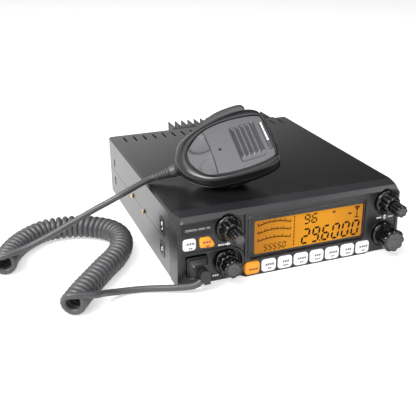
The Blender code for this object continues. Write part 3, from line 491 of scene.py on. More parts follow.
def surface(name, color, rough, metal=0.0, grain=0.0, grain_size=0.4, mottle=0.08, vary=0.1, **extra):
    """A material with a fine moulded or sprayed grain, and unevenness in its colour and gloss."""
    made, tree, shader = new_material(name)
    shader.inputs["Metallic"].default_value = metal
    for key, value in extra.items():
        shader.inputs[key.replace("_", " ")].default_value = value
    spot = tree.nodes.new("ShaderNodeTexCoord").outputs["Object"]
    clouds = add_noise(tree, 18.0, 4.0, spot)
    fine = add_noise(tree, 0.9, 3.0, spot)
    both = add_node(tree, "Math", {1: 0.5}, {0: fine, 2: clouds}, operation="MULTIPLY_ADD")
    share = ramp(tree, both.outputs["Value"], 0.55, 0.95, 0.0, 1.0)
    dark, light = (tuple(c * k for c in color) for k in (1 - mottle, 1 + mottle))
    tree.links.new(blend_colors(tree, share, dark, light), shader.inputs["Base Color"])
    gloss = ramp(tree, clouds, 0.3, 0.7, rough * (1 - vary), rough * (1 + vary))
    tree.links.new(gloss, shader.inputs["Roughness"])
    if grain:
        values = {"Strength": grain, "Distance": 0.15 * grain_size * MM}
        bump = add_node(tree, "Bump", values, {"Height": add_noise(tree, grain_size, 4.0, spot)})
        tree.links.new(bump.outputs["Normal"], shader.inputs["Normal"])
    return made


def display_glow():
    """The lit display: amber light, stronger in the middle than at the edges, with a fine speckle."""
    made, tree, shader = new_material("lcd_amber")
    shader.inputs["Base Color"].default_value = (0.12, 0.05, 0.004, 1.0)
    shader.inputs["Roughness"].default_value = 0.45
    shader.inputs["Specular IOR Level"].default_value = 0.0
    shader.inputs["Emission Strength"].default_value = 1.0
    coordinates = tree.nodes.new("ShaderNodeTexCoord")
    parts = add_node(tree, "SeparateXYZ", {}, {"Vector": coordinates.outputs["Generated"]})
    speckle = add_noise(tree, 0.7, 2.0, coordinates.outputs["Object"])
    product = ramp(tree, parts.outputs["X"], 0.0, 0.45, 0.0, 1.0)
    for other in (
        ramp(tree, parts.outputs["X"], 0.7, 1.05, 1.0, 0.25),
        ramp(tree, parts.outputs["Z"], 1.0, 0.8, 0.35, 1.0),
        ramp(tree, speckle, 0.3, 0.7, 0.86, 1.0),
    ):
        product = add_node(tree, "Math", {}, {0: product, 1: other}, operation="MULTIPLY").outputs["Value"]
    glow = blend_colors(tree, product, (0.36, 0.125, 0.010), (0.72, 0.30, 0.014))
    tree.links.new(glow, shader.inputs["Emission Color"])
    return made


COVER_PAINT = surface(
    "cover_paint", (0.006, 0.006, 0.0065), 0.24, grain=0.08, grain_size=0.35, mottle=0.04, vary=0.03
)
PANEL_PLASTIC = surface("panel_plastic", (0.011, 0.011, 0.013), 0.33, grain=0.25, grain_size=0.35)
BLACK_PLASTIC = surface("black_plastic", (0.005, 0.005, 0.006), 0.35, grain=0.2)
KNOB_PLASTIC = surface("knob_plastic", (0.003, 0.003, 0.0035), 0.14, grain=0.1)
KNOB_FACE = surface("knob_face", (0.050, 0.049, 0.054), 0.28, grain=1.0, grain_size=0.9, mottle=0.35)
WHITE_PLASTIC = surface("white_plastic", (0.88, 0.88, 0.90), 0.35, grain=0.1, mottle=0.015)
# The orange plastic's faint emission is a painted glow that brightens the orange buttons.
ORANGE_PLASTIC = surface(
    "orange_plastic", (0.80, 0.30, 0.010), 0.35, grain=0.1, mottle=0.05,
    Emission_Color=(0.9, 0.28, 0.0, 1.0), Emission_Strength=0.12
)
BOARD_GREEN = surface("board_green", (0.02, 0.12, 0.05), 0.4, grain=0.2)
PLATED_STEEL = surface("plated_steel", (0.50, 0.50, 0.52), 0.35, metal=1.0, grain=0.2)
ANODISED = surface(
    "anodised_black", (0.005, 0.005, 0.006), 0.40, grain=0.3, grain_size=0.6, Specular_IOR_Level=0.2
)
CHROME = surface("chrome", (0.72, 0.72, 0.73), 0.14, metal=1.0, grain=0.05)
BRASS = surface("brass", (0.68, 0.47, 0.20), 0.3, metal=1.0, grain=0.15)
MIC_PLASTIC = surface("mic_plastic", (0.007, 0.007, 0.008), 0.24, grain=0.2, grain_size=0.3)
MIC_GREY = surface("mic_grey", (0.054, 0.055, 0.060), 0.33, grain=0.5, grain_size=0.3, mottle=0.05)
KEY_GREY = surface("key_grey", (0.014, 0.014, 0.016), 0.30, grain=0.3, grain_size=0.3)
CORD_RUBBER = surface("cord_rubber", (0.050, 0.050, 0.053), 0.40, grain=0.25, grain_size=0.5)
WINDOW_PLASTIC = surface(
    "window_plastic", (1.0, 1.0, 1.0), 0.03, mottle=0.0, Transmission_Weight=1.0, IOR=1.12
)
LCD_AMBER = display_glow()
BADGE = surface("badge_silver", (0.60, 0.60, 0.62), 0.28, metal=0.9, grain=0.2)
INK = surface("ink", (0.10, 0.10, 0.11), 0.5)
RED_INK = surface("red_ink", (0.30, 0.05, 0.01), 0.5)
LEGEND = surface("legend_white", (0.75, 0.75, 0.75), 0.5, mottle=0.02)
PLUG_RUBBER = surface("plug_rubber", (0.010, 0.010, 0.011), 0.32, grain=0.25, grain_size=0.4)
SEGMENT_INK = surface("segment_ink", (0.006, 0.004, 0.002), 0.5, Specular_IOR_Level=0.0)

SLOT_LOOKS = dict(
    cover_paint=COVER_PAINT, panel_plastic=PANEL_PLASTIC, black_plastic=BLACK_PLASTIC,
    knob_plastic=KNOB_PLASTIC, white_plastic=WHITE_PLASTIC, orange_plastic=ORANGE_PLASTIC,
    window_plastic=WINDOW_PLASTIC, lcd_amber=LCD_AMBER, board_green=BOARD_GREEN, plated_steel=PLATED_STEEL,
    anodised_black=ANODISED, chrome=CHROME, brass=BRASS, mic_plastic=MIC_PLASTIC, mic_grey=MIC_GREY,
    cord_rubber=CORD_RUBBER,
)


# ---- Camera ----
def make_camera():
    data = bpy.data.cameras.new("camera")
    data.lens = CAMERA_LENS
    data.sensor_width = 36.0
    data.clip_start = 0.01
    camera = new_object("camera", data)
    turn = Matrix.Rotation(math.radians(CAMERA_YAW), 4, "Z")
    tilt = Matrix.Rotation(math.radians(90 - CAMERA_PITCH), 4, "X")
    roll = Matrix.Rotation(math.radians(CAMERA_ROLL), 4, "Z")
    pose = turn @ tilt @ roll
    back = pose.to_3x3() @ Vector((0.0, 0.0, CAMERA_DISTANCE * MM))
    camera.matrix_world = Matrix.Translation(place(CAMERA_TARGET) + back) @ pose
    bpy.context.scene.camera = camera


# ---- Cord ----
def helix():
    """The curly part, from the microphone's end: a wire wound round the coil's line, starting on top."""
    line = smooth_route([(x, y, COIL_HEIGHT) for x, y in COIL_ROUTE[::-1]], 1.0)
    radius = COIL_RADIUS - WIRE_RADIUS
    total = COIL_TURNS * POINTS_PER_TURN
    points = []
    for i in range(total + 1):
        spot = (len(line) - 1) * i / total
        k = min(int(spot), len(line) - 2)
        centre = line[k].lerp(line[k + 1], spot - k)
        ahead = line[min(k + 4, len(line) - 1)] - line[max(k - 4, 0)]
        side = Vector((-ahead.y, ahead.x, 0.0)).normalized()
        angle = 2 * math.pi * i / POINTS_PER_TURN
        points.append(centre + (Vector((0, 0, math.cos(angle))) + side * math.sin(angle)) * radius)
    return points


def along_mic(bm):
    """Turns a solid of revolution to run from the microphone's cable end along its length."""
    turn = Matrix.Translation(RELIEF_AT) @ Matrix.Rotation(math.radians(90), 4, "Z")
    bmesh.ops.transform(bm, matrix=turn, verts=bm.verts)
    return bm


def make_relief():
    """A smooth sleeve that tapers into five ribs, from the microphone to the cord."""
    profile = [(0, 0.0), (5.0, 0.0), (5.2, 0.8), (4.7, 5.2), (3.7, 6.0)]
    for rib in range(5):
        start = 6.4 + 2.3 * rib
        wide = 4.5 - 0.28 * rib
        slim = wide - 1.0
        profile += [(slim, start), (wide, start + 0.3), (wide, start + 1.3), (slim, start + 1.6)]
    profile += [(2.9, RELIEF_LENGTH), (0, RELIEF_LENGTH)]
    bm = along_mic(turned(filleted(profile, 0.35), 48))
    return add_piece("strain_relief", bm, CORD_RUBBER, "handset", MIC, ["mic_strain_relief"])


def make_cord():
    relief = make_relief()
    coil = helix()
    lead_in = smooth_route([*LEAD_TO_MIC[1:], tuple(coil[0]), tuple(coil[1])], 5.0)[:-1]
    lead_out = smooth_route([tuple(coil[-2]), tuple(coil[-1]), *LEAD_TO_PLUG[:0:-1]], 4.0)[1:]
    lead_in = [p for p in lead_in if (p - coil[0]).length > 2.0]
    lead_out = [p for p in lead_out if (p - coil[-1]).length > 2.0]
    path = [Vector(LEAD_TO_MIC[0]), *lead_in, *coil, *lead_out, Vector(LEAD_TO_PLUG[0])]
    cord = add_piece(
        "curly_cord", tube(bmesh.new(), path, WIRE_RADIUS, 14), CORD_RUBBER, None,
        stands_for=["cord_to_mic", "cord_coil", "cord_to_plug"], smooth_angle=60.0
    )
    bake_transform(cord)


# ---- CAD nodes that stay ----
def soften(node, width, segments=3, angle=30):
    """Rounds a CAD node's edges with modifiers, which leave its own mesh as it is."""
    obj = frame["nodes"][node]
    if "custom_normal" in obj.data.attributes:
        obj.data.attributes.remove(obj.data.attributes["custom_normal"])
    obj.data.shade_smooth()
    weld = obj.modifiers.new("weld", "WELD")
    weld.merge_threshold = 0.00001
    flat = obj.modifiers.new("flat", "DECIMATE")
    flat.decimate_type = "DISSOLVE"
    flat.angle_limit = math.radians(0.5)
    bevel = obj.modifiers.new("bevel", "BEVEL")
    bevel.width = width * MM
    bevel.segments = segments
    bevel.limit_method = "ANGLE"
    bevel.angle_limit = math.radians(angle)
    bevel.harden_normals = True


def dress_nodes():
    for entry in frame["record"]["subparts"]:
        obj = frame["nodes"][entry["node"]]
        obj.data.materials.clear()
        look = PLUG_RUBBER if obj is frame["nodes"]["mic_plug"] else SLOT_LOOKS[entry["material_slot"]]
        obj.data.materials.append(look)
    soften("front_bezel", 0.9, 4)
    for width, names in (
        (0.5, ["mic_plug"]), (0.35, ["top_cover"]),
        (0.3, ["bottom_cover", "heat_sink", "rear_panel", "dc_socket"]),
        (0.25, ["mic_hanger_stud", "antenna_socket", "speaker_jack", "pa_jack"]),
    ):
        for node in names:
            soften(node, width)


# ---- Front panel ----
def make_window_rim():
    """The raised lip round the window."""
    x0, x1, z0, z1 = WINDOW
    rings = []
    for out, y in ((0.15, 0.6), (0.1, -0.35), (0.35, -0.75), (0.85, -0.8), (1.3, -0.5), (1.55, 0.3)):
        rings.append(at_depth(box_outline(x0 - out, x1 + out, z0 - out, z1 + out, 2.5 + out), y))
    add_piece("window_rim", hoop(bmesh.new(), rings), PANEL_PLASTIC, "root", smooth_angle=70)


def make_mask():
    """The black border printed behind the window, round the lit part of the display."""
    x0, x1, z0, z1 = WINDOW
    outer = box_outline(x0 + 0.35, x1 - 0.35, z0 + 0.35, z1 - 0.35, 2.1)
    inner = box_outline(*LIT, 1.4)
    front, back = GLASS_BACK + 0.05, GLASS_BACK + 0.2
    rings = [at_depth(outer, front), at_depth(inner, front), at_depth(inner, back), at_depth(outer, back)]
    add_piece("window_mask", hoop(bmesh.new(), rings), BLACK_PLASTIC, "root")


def corner_cut(points, size, steps=6):
    """The outline of a many-sided shape with its corners rounded."""
    made = []
    count = len(points)
    for i in range(count):
        a, b, c = (Vector(points[(i + k) % count]) for k in (-1, 0, 1))
        one = b + (a - b).normalized() * size
        two = b + (c - b).normalized() * size
        for step in range(steps + 1):
            t = step / steps
            spot = one * (1 - t) ** 2 + b * 2 * t * (1 - t) + two * t**2
            made.append((spot.x, spot.y))
    return made


def dash(bm, x, z, length, height, y, slant=0.1):
    """A short printed bar whose lower left corner is at x, z."""
    lean = slant * height
    outline = [(x, z), (x + length, z), (x + length + lean, z + height), (x + lean, z + height)]
    prism(bm, outline, y - 0.05, y + 0.3)


def dashes(bm, x, z, count, length, height, y, slant=0.1):
    """A row of bars in place of a word, its middle at x and its foot at z."""
    pitch = length * 1.32
    start = x - (pitch * count - 0.32 * length) / 2
    for k in range(count):
        dash(bm, start + pitch * k, z, length, height, y, slant)


def make_button(name, outline, face, look, words):
    """A button with a crowned face and a rounded edge, and rows of bars in place of its words."""
    front = face - BUTTON_PROUD
    middle = sum((Vector(point) for point in outline), Vector((0, 0))) / len(outline)
    rings = []
    for share, y in ((0.12, -0.02), (0.4, 0.0), (0.66, 0.04)):
        rings.append(at_depth([middle.lerp(Vector(point), share) for point in outline], front + y))
    for step in range(6):
        angle = math.pi / 2 * step / 5
        inner = shrunk(outline, BUTTON_EDGE * (1 - math.sin(angle)))
        rings.append(at_depth(inner, front + 1.4 - 1.3 * math.cos(angle)))
    rings.append(at_depth(outline, face + 5.0))
    body = f"{name}_cap"
    add_piece(f"{name}_moulding", loft(bmesh.new(), rings), look, body, stands_for=[name], smooth_angle=50)
    marks = bmesh.new()
    for word in words:
        dashes(marks, *word, front)
    ink = RED_INK if look is ORANGE_PLASTIC else INK
    add_piece(f"{name}_marks", marks, ink, body)


def make_buttons():
    for i in range(ROW_COUNT):
        x = ROW_FIRST_X + ROW_PITCH * i
        look, words = ORANGE_PLASTIC, [(x + 0.4, ROW_Z - 1.6, 4, 1.5, 1.7)]
        if i > 0:
            look = WHITE_PLASTIC
            words = [(x + 0.2, ROW_Z + 0.1, 3 + i % 2, 1.5, 1.9), (x + 0.2, ROW_Z - 3.1, 3 - i % 2, 1.3, 1.3)]
        make_button(f"row_button_{i + 1}", rounded(x, ROW_Z, *ROW_SIZE, 3.0), 0.0, look, words)

    x, z, width, height = FUNCTION_BUTTON
    words = [(x + 0.3, z + 0.4, 3, 1.7, 1.9), (x + 0.3, z - 3.2, 2, 1.3, 1.4)]
    make_button("function_button", rounded(x, z, width, height, 2.4), SIDE_FACE, WHITE_PLASTIC, words)
    words = [(-75.6, 36.0, 3, 1.7, 1.7), (-75.0, 32.9, 2, 1.1, 1.2)]
    make_button("band_button", corner_cut(BAND_BUTTON, 1.7), SIDE_FACE, ORANGE_PLASTIC, words)


def make_legends():
    """Small plain marks in place of the panel's words: bars, arrows and a stripe."""
    y = SIDE_FACE
    bm = bmesh.new()
    for word in (
        (-63.4, 30.9, 3, 1.3, 1.4, y), (79.6, 30.3, 3, 1.2, 1.3, y), (91.0, 30.0, 3, 1.2, 1.3, y),
        (-67.6, 4.0, 3, 1.3, 1.4, LOW_FACE),
    ):
        dashes(bm, *word)
    for outline in (
        [(-60.4, 30.9), (-58.2, 30.9), (-58.2, 29.6), (-55.4, 31.5), (-58.2, 33.4), (-58.2, 32.1),
         (-60.4, 32.1)],
        [(83.6, 31.2), (87.0, 31.2), (85.3, 33.4)], [(83.6, 30.7), (85.3, 28.5), (87.0, 30.7)],
    ):
        prism(bm, outline, y - 0.05, y + 0.3)
    add_piece("panel_marks", bm, LEGEND, "root")
    stripe = bmesh.new()
    for x, length in ((-92.6, 9.4), (-82.2, 5.6), (-75.6, 3.2)):
        dash(stripe, x, 47.3, length, 1.4, y, 0.3)
    add_piece("panel_stripe", stripe, LEGEND, "root")


def make_ridge():
    """The raised line that runs under the upper buttons and round the lower left knob."""
    cx, cz = KNOB_LOWER_LEFT
    y = SIDE_FACE + 0.1
    path = [Vector((x, y, 28.0)) for x in range(-94, -66, 3)]
    for step in range(25):
        angle = math.radians(102 - 120 * step / 24)
        path.append(Vector((cx + 14.0 * math.cos(angle), y, cz + 12.6 * math.sin(angle))))
    path = smooth_route(path, 1.0)
    bm = tube(bmesh.new(), path, 1.6, 18)
    # A bead also bounds the panel at both ends, from its chamfer down.
    for side in (-1, 1):
        path = [(94.6, 1.6, 54.8), (95.7, 1.5, 53.2), (96.2, 1.5, 50.0), (96.3, 1.5, 40.0)]
        path += [(96.3, 1.5, z) for z in (30.0, 20.0, 10.0, 5.0)]
        tube(bm, smooth_route([(side * x, y + 0.1, z) for x, y, z in path], 1.0), 0.8, 12)
    add_piece("panel_ridge", bm, PANEL_PLASTIC, "root", smooth_angle=60)


def make_ribs():
    """Fine level ribs on the upper left of the panel, stopping at the knob's dish."""
    bm = bmesh.new()
    cx, cz = KNOB_UPPER_LEFT
    for i in range(10):
        z = 42.9 + 1.25 * i
        left = -95.6
        right = cx - math.sqrt(max(0.0, 13.0**2 - (z - cz) ** 2))
        section = [(z - 0.36, 0.3), (z - 0.16, -0.45), (z + 0.16, -0.45), (z + 0.36, 0.3)]
        loft(bm, [[(x, SIDE_FACE + y, h) for h, y in section] for x in (left, right)])
    add_piece("panel_ribs", bm, PANEL_PLASTIC, "root", smooth_angle=60)


# ---- Display ----
SEGMENTS = {"0": "abcdef", "2": "abged", "5": "afgcd", "6": "afgedc", "9": "gfabcd"}


def stroke(bm, a, b, thick, y):
    """A straight thin mark between two points on the display."""
    a, b = Vector(a), Vector(b)
    along = (b - a).normalized()
    side = Vector((-along.y, along.x)) * thick / 2
    prism(bm, [tuple(p) for p in (a + side, b + side, b - side, a - side)], y - 0.05, y + 0.02)


def segment_digit(bm, digit, x, z, width, height, thick, y, slant=0.14):
    """A seven-segment digit whose lower left corner is at x, z."""
    half = height / 2
    bars = {
        "a": ((0, height), (width, height)), "d": ((0, 0), (width, 0)), "g": ((0, half), (width, half)),
        "b": ((width, height), (width, half)), "c": ((width, half), (width, 0)),
        "f": ((0, height), (0, half)), "e": ((0, half), (0, 0)),
    }
    for letter in SEGMENTS[digit]:
        a, b = (Vector(end) for end in bars[letter])
        along = (b - a).normalized()
        side = Vector((-along.y, along.x)) * thick / 2
        tip = along * thick / 2
        a, b = a + along * thick * 0.75, b - along * thick * 0.75
        outline = [a - tip, a + side, b + side, b + tip, b - side, a - side]
        prism(bm, [(x + p.x + slant * p.y, z + p.y) for p in outline], y - 0.05, y + 0.02)


def make_display():
    y = DISPLAY_FACE - 0.05
    bm = bmesh.new()
    # The reading, its point and two smaller figures above it.
    for i, digit in enumerate("296000"):
        segment_digit(bm, digit, 7.2 + 9.25 * i, 19.6, 5.6, 12.4, 1.7, y)
    prism(bm, rounded(24.3, 19.7, 1.3, 1.3, 0.3, 2), y - 0.05, y + 0.02)
    for i, digit in enumerate("96"):
        segment_digit(bm, digit, 9.0 + 6.7 * i, 37.1, 4.3, 7.4, 1.25, y)
    # Five small figures below the scales.
    for i, digit in enumerate("55550"):
        segment_digit(bm, digit, -26.6 + 4.1 * i, 19.4, 2.5, 5.0, 0.95, y)
    # Three curved scales with ticks.
    for z, rise, count in ((41.8, 2.4, 13), (35.2, 2.2, 11), (28.4, 2.0, 9)):
        points = []
        for step in range(25):
            t = step / 24
            points.append((-31.6 + 28.2 * t, z + rise * (1 - (2 * t - 1) ** 2) - 0.6 * t))
        for a, b in zip(points, points[1:]):
            stroke(bm, a, b, 0.7, y)
        for k in range(count):
            x, h = points[round(24 * k / (count - 1))]
            stroke(bm, (x, h - 0.3), (x + 0.15, h + (2.0 if k % 2 == 0 else 1.2)), 0.85, y)
    # The dashed line, two small signs and an aerial.
    for k in range(9):
        stroke(bm, (0.1, 19.6 + 3.0 * k), (0.1, 21.5 + 3.0 * k), 0.9, y)
    stroke(bm, (34.8, 43.3), (37.4, 43.3), 1.5, y)
    stroke(bm, (49.6, 39.6), (52.6, 39.6), 1.5, y)
    for a, b in (
        ((55.6, 44.8), (60.2, 44.8)), ((55.6, 44.8), (57.9, 42.2)), ((60.2, 44.8), (57.9, 42.2)),
        ((57.9, 44.8), (57.9, 35.4)), ((55.8, 35.4), (60.0, 35.4)),
    ):
        stroke(bm, a, b, 0.85, y)
    add_piece("display_segments", bm, SEGMENT_INK, "root")


# ---- Knobs ----
def flange(back, wide, slim):
    """The profile of a knob's foot: a short rim, then a broad round shoulder."""
    profile = [(wide - 0.4, back), (wide, back - 0.4)]
    for step in range(7):
        angle = math.pi / 2 * step / 6
        profile.append((slim + (wide - slim) * math.cos(angle), back - 1.2 - 2.3 * math.sin(angle)))
    return profile


def outer_knob(name, axis, face, length, front_radius):
    """The outer knob of a concentric pair: a bright-edged flange and a fluted body."""
    front, back = -length, face + 0.7
    profile = [(4.2, back), *flange(back, 10.3, 8.8)]
    profile += [
        (8.9, back - 4.2, 1.1), (front_radius + 0.5, front + 1.1, 1.2), (front_radius, front + 0.3, 0.9),
        (front_radius - 0.9, front, 0.5), (2.4, front),
    ]
    bm = turned(filleted(profile, 0.3), 160, lobes=8, valley=0.8)
    node = f"{name}_outer_knob"
    add_piece(f"{node}_moulding", bm, KNOB_PLASTIC, f"{name}_outer", knob_pose(axis), [node], smooth_angle=40)


def inner_knob(name, axis, start, length, radius, lobe):
    """The inner knob of a concentric pair, with a satin inlay in its face."""
    front = -length
    profile = [
        (0, -start), (radius * 0.86, -start), (radius * 0.92, -start - 0.6, 0.2),
        (radius, -start - 1.4, lobe), (radius * 0.99, front + 1.0, lobe),
        (radius * 0.93, front + 0.35, lobe * 0.9), (radius * 0.80, front, lobe * 0.7),
        (radius * 0.70, front + 0.15, lobe * 0.6), (radius * 0.68, front + 0.8, lobe * 0.6), (0, front + 0.8),
    ]
    bm = turned(filleted(profile, 0.25), 160, lobes=8, valley=0.8)
    node = f"{name}_inner_knob"
    add_piece(f"{node}_moulding", bm, KNOB_PLASTIC, f"{name}_inner", knob_pose(axis), [node], smooth_angle=40)
    face = [
        (0, front), (radius * 0.13, front), (radius * 0.22, front + 0.4), (radius * 0.38, front + 0.35),
        (radius * 0.60, front - 0.05), (radius * 0.70, front + 0.15, lobe * 0.6),
        (radius * 0.70, front + 0.9, lobe * 0.6), (0, front + 0.9),
    ]
    bm = turned(filleted(face, 0.3), 120, lobes=8, valley=0.8)
    add_piece(f"{node}_inlay", bm, KNOB_FACE, f"{name}_inner", knob_pose(axis))


def make_knobs():
    for name, axis, face, ring_length, ring_radius, length, tip in (
        ("squelch_rf", KNOB_UPPER_LEFT, SIDE_FACE, 10.5, 7.2, 22.5, 5.3),
        ("volume_power", KNOB_LOWER_LEFT, LOW_FACE, 5.5, 8.4, 14.0, 7.8),
        ("clarifier", KNOB_UPPER_RIGHT, SIDE_FACE, 10.5, 7.2, 22.5, 5.3),
    ):
        outer_knob(name, axis, face, ring_length, ring_radius)
        inner_knob(name, axis, ring_length + GAP, length, tip, 1.1)

    back = SIDE_FACE + 0.7
    profile = [
        (0, back), *flange(back, 10.4, 8.9), (9.1, -3.6, 0.5), (9.3, -5.0, 1.3), (10.15, -13.6, 1.8),
        (10.1, -15.4, 1.8), (9.5, -16.6, 1.6), (8.6, -17.0, 1.3), (8.2, -16.9, 1.2), (7.9, -16.0, 1.1),
        (0, -16.0),
    ]
    bm = turned(filleted(profile, 0.35), 180, lobes=9, valley=0.75)
    node, body, pose = "channel_knob", "channel_dial", knob_pose(KNOB_CHANNEL)
    add_piece(f"{node}_moulding", bm, KNOB_PLASTIC, body, pose, [node], smooth_angle=40)
    # The face dips towards its middle, round a small boss.
    face = [
        (0, -16.9), (1.3, -16.9), (2.0, -16.5), (3.2, -16.4), (5.8, -16.75, 0.4), (7.5, -17.05, 1.0),
        (8.15, -16.9, 1.15), (8.15, -15.9, 1.15), (0, -15.9),
    ]
    bm = turned(filleted(face, 0.4), 180, lobes=9, valley=0.75)
    add_piece(f"{node}_inlay", bm, KNOB_FACE, body, pose)


def make_dish_rims():
    """The thin polished ring at the foot of each knob."""
    for name, (x, z), face in (
        ("squelch_rf", KNOB_UPPER_LEFT, SIDE_FACE), ("volume_power", KNOB_LOWER_LEFT, LOW_FACE),
        ("clarifier", KNOB_UPPER_RIGHT, SIDE_FACE), ("channel", KNOB_CHANNEL, SIDE_FACE),
    ):
        bm = tube(bmesh.new(), circle(x, face + 0.05, z, 11.6), 0.35, 8, closed=True)
        add_piece(f"{name}_dish_rim", bm, KNOB_PLASTIC, "root", smooth_angle=60)


# ---- Hand microphone ----
def sloped(plan, share):
    """The plan as a ring at this share of the rear shell's depth, which is less at the cable end."""
    ring = []
    for point in plan:
        depth = MIC_SPLIT - MIC_BACK - THIN_SLOPE * max(0.0, THIN_FROM - point[0])
        ring.append(Vector((point[0], point[1], MIC_SPLIT - GAP - share * depth)))
    return ring


def talk_slot():
    """The space that the talk key swings in."""
    outline = [(34.0, 36.4), (8.0, 33.4), (-19.1, 26.8), (-19.1, 52.0), (34.0, 52.0)]
    return loft(bmesh.new(), [level(outline, KEY_LOW - 0.4), level(outline, KEY_HIGH + 0.4)])


def make_mic_shells():
    face, body, back = (smooth_loop(plan) for plan in (FACE_PLAN, BODY_PLAN, BACK_PLAN))
    shoulder = [level(body, MIC_SPLIT + 0.5), level(body, -7.6)]
    rim = inset(face, -2.5)
    for step in range(1, 9):
        angle = math.radians(9.5 * step)
        shoulder.append(level(between(body, rim, 1 - math.cos(angle)), -7.6 + 6.9 * math.sin(angle)))
    bead = [
        level(inset(face, -2.3), -0.75), level(inset(face, -2.05), -1.05), level(inset(face, -1.8), -0.75),
        level(inset(face, -1.5), 0.1), level(inset(face, -1.15), 0.5), level(inset(face, -0.7), 0.4),
        level(inset(face, -0.4), -0.1), level(inset(face, -GAP), -1.9),
    ]
    front = [level(inset(body, 0.5), MIC_SPLIT), *shoulder, *bead]
    bm = carve(loft(bmesh.new(), front), talk_slot())
    add_piece("mic_front_moulding", bm, MIC_PLASTIC, "handset", MIC, ["mic_front_shell"], smooth_angle=42)

    rear = [
        sloped(body, 0.0), sloped(body, 0.10), sloped(between(body, back, 0.14), 0.34),
        sloped(between(body, back, 0.45), 0.64), sloped(between(body, back, 0.78), 0.88), sloped(back, 1.0),
        sloped(between(back, [Vector(MIC_MIDDLE)] * len(back), 0.15), 1.02),
    ]
    rings = [sloped(inset(body, 0.5), -0.02), *smooth_rings(rear)]
    bm = carve(loft(bmesh.new(), rings), talk_slot())
    add_piece("mic_rear_moulding", bm, MIC_PLASTIC, "handset", MIC, ["mic_rear_shell"], smooth_angle=42)

    # The neck is a round bulb between the strain relief and the body.
    profile = [
        (0, -16.0), (2.5, -15.6), (4.6, -13.5), (5.8, -10.0), (6.0, -6.5), (5.6, -3.0), (5.0, -0.9),
        (4.7, -GAP), (0, -GAP),
    ]
    add_piece("mic_neck", along_mic(turned(profile, 64)), MIC_PLASTIC, "handset", MIC, smooth_angle=60)


def plate_height(u, v, edge):
    """The face plate's height at a point: its crown, groove, thumb scoops and grille."""
    w = 0.9 * (1 - ((u - 7) / 36) ** 2 - (v / 30) ** 2)
    w -= 0.7 * max(0.0, 1 - edge / 0.9) ** 2
    groove = u - (-7.3 - 0.0022 * (v - 1.0) ** 2)
    w -= 0.5 * max(0.0, 1 - abs(groove) / 0.6)
    if groove < 0:
        for cu, cv, ru, rv, depth in ((-12.5, 12.0, 14.0, 10.6, 1.7), (-10.5, -13.5, 12.5, 10.0, 1.5)):
            away = math.hypot((u - cu) / ru, (v - cv) / rv)
            if away < 1:
                w -= depth * min(1.0, (1 - away) / 0.25) ** 1.3 * (0.55 + 0.45 * (1 - away))
    # The grille: a shallow tray with round corners, and slots that leave ribs between them.
    across = abs(u - GRILLE_MIDDLE[0]) - GRILLE_HALF[0] + GRILLE_CORNER
    along = abs(v - GRILLE_MIDDLE[1]) - GRILLE_HALF[1] + GRILLE_CORNER
    inside = GRILLE_CORNER - math.hypot(max(across, 0.0), max(along, 0.0)) - min(max(across, along), 0.0)
    if inside > 0:
        w -= 1.0 * min(1.0, inside / 1.0)
        run = min(v - GRILLE_SLOT[0], GRILLE_SLOT[1] - v)
        turn = (u - GRILLE_FIRST) / GRILLE_PITCH
        if -0.5 < turn < GRILLE_SLOTS - 0.5 and run > -2.0:
            bar = 0.5 - 0.5 * math.cos(2 * math.pi * (turn - math.floor(turn)))
            w += bar * (1.15 - 0.6 * min(1.0, max(0.0, run) / 5.0)) * min(1.0, (run + 2.0) / 2.0)
            w -= 1.5 * min(1.0, max(0.0, run) / 1.5) * max(0.0, 1 - bar / 0.55)
    # The sound hole.
    away = math.hypot(u + 0.1, v)
    if away < 1.1:
        w -= 1.6 * min(1.0, (1.1 - away) / 0.3)
    return w


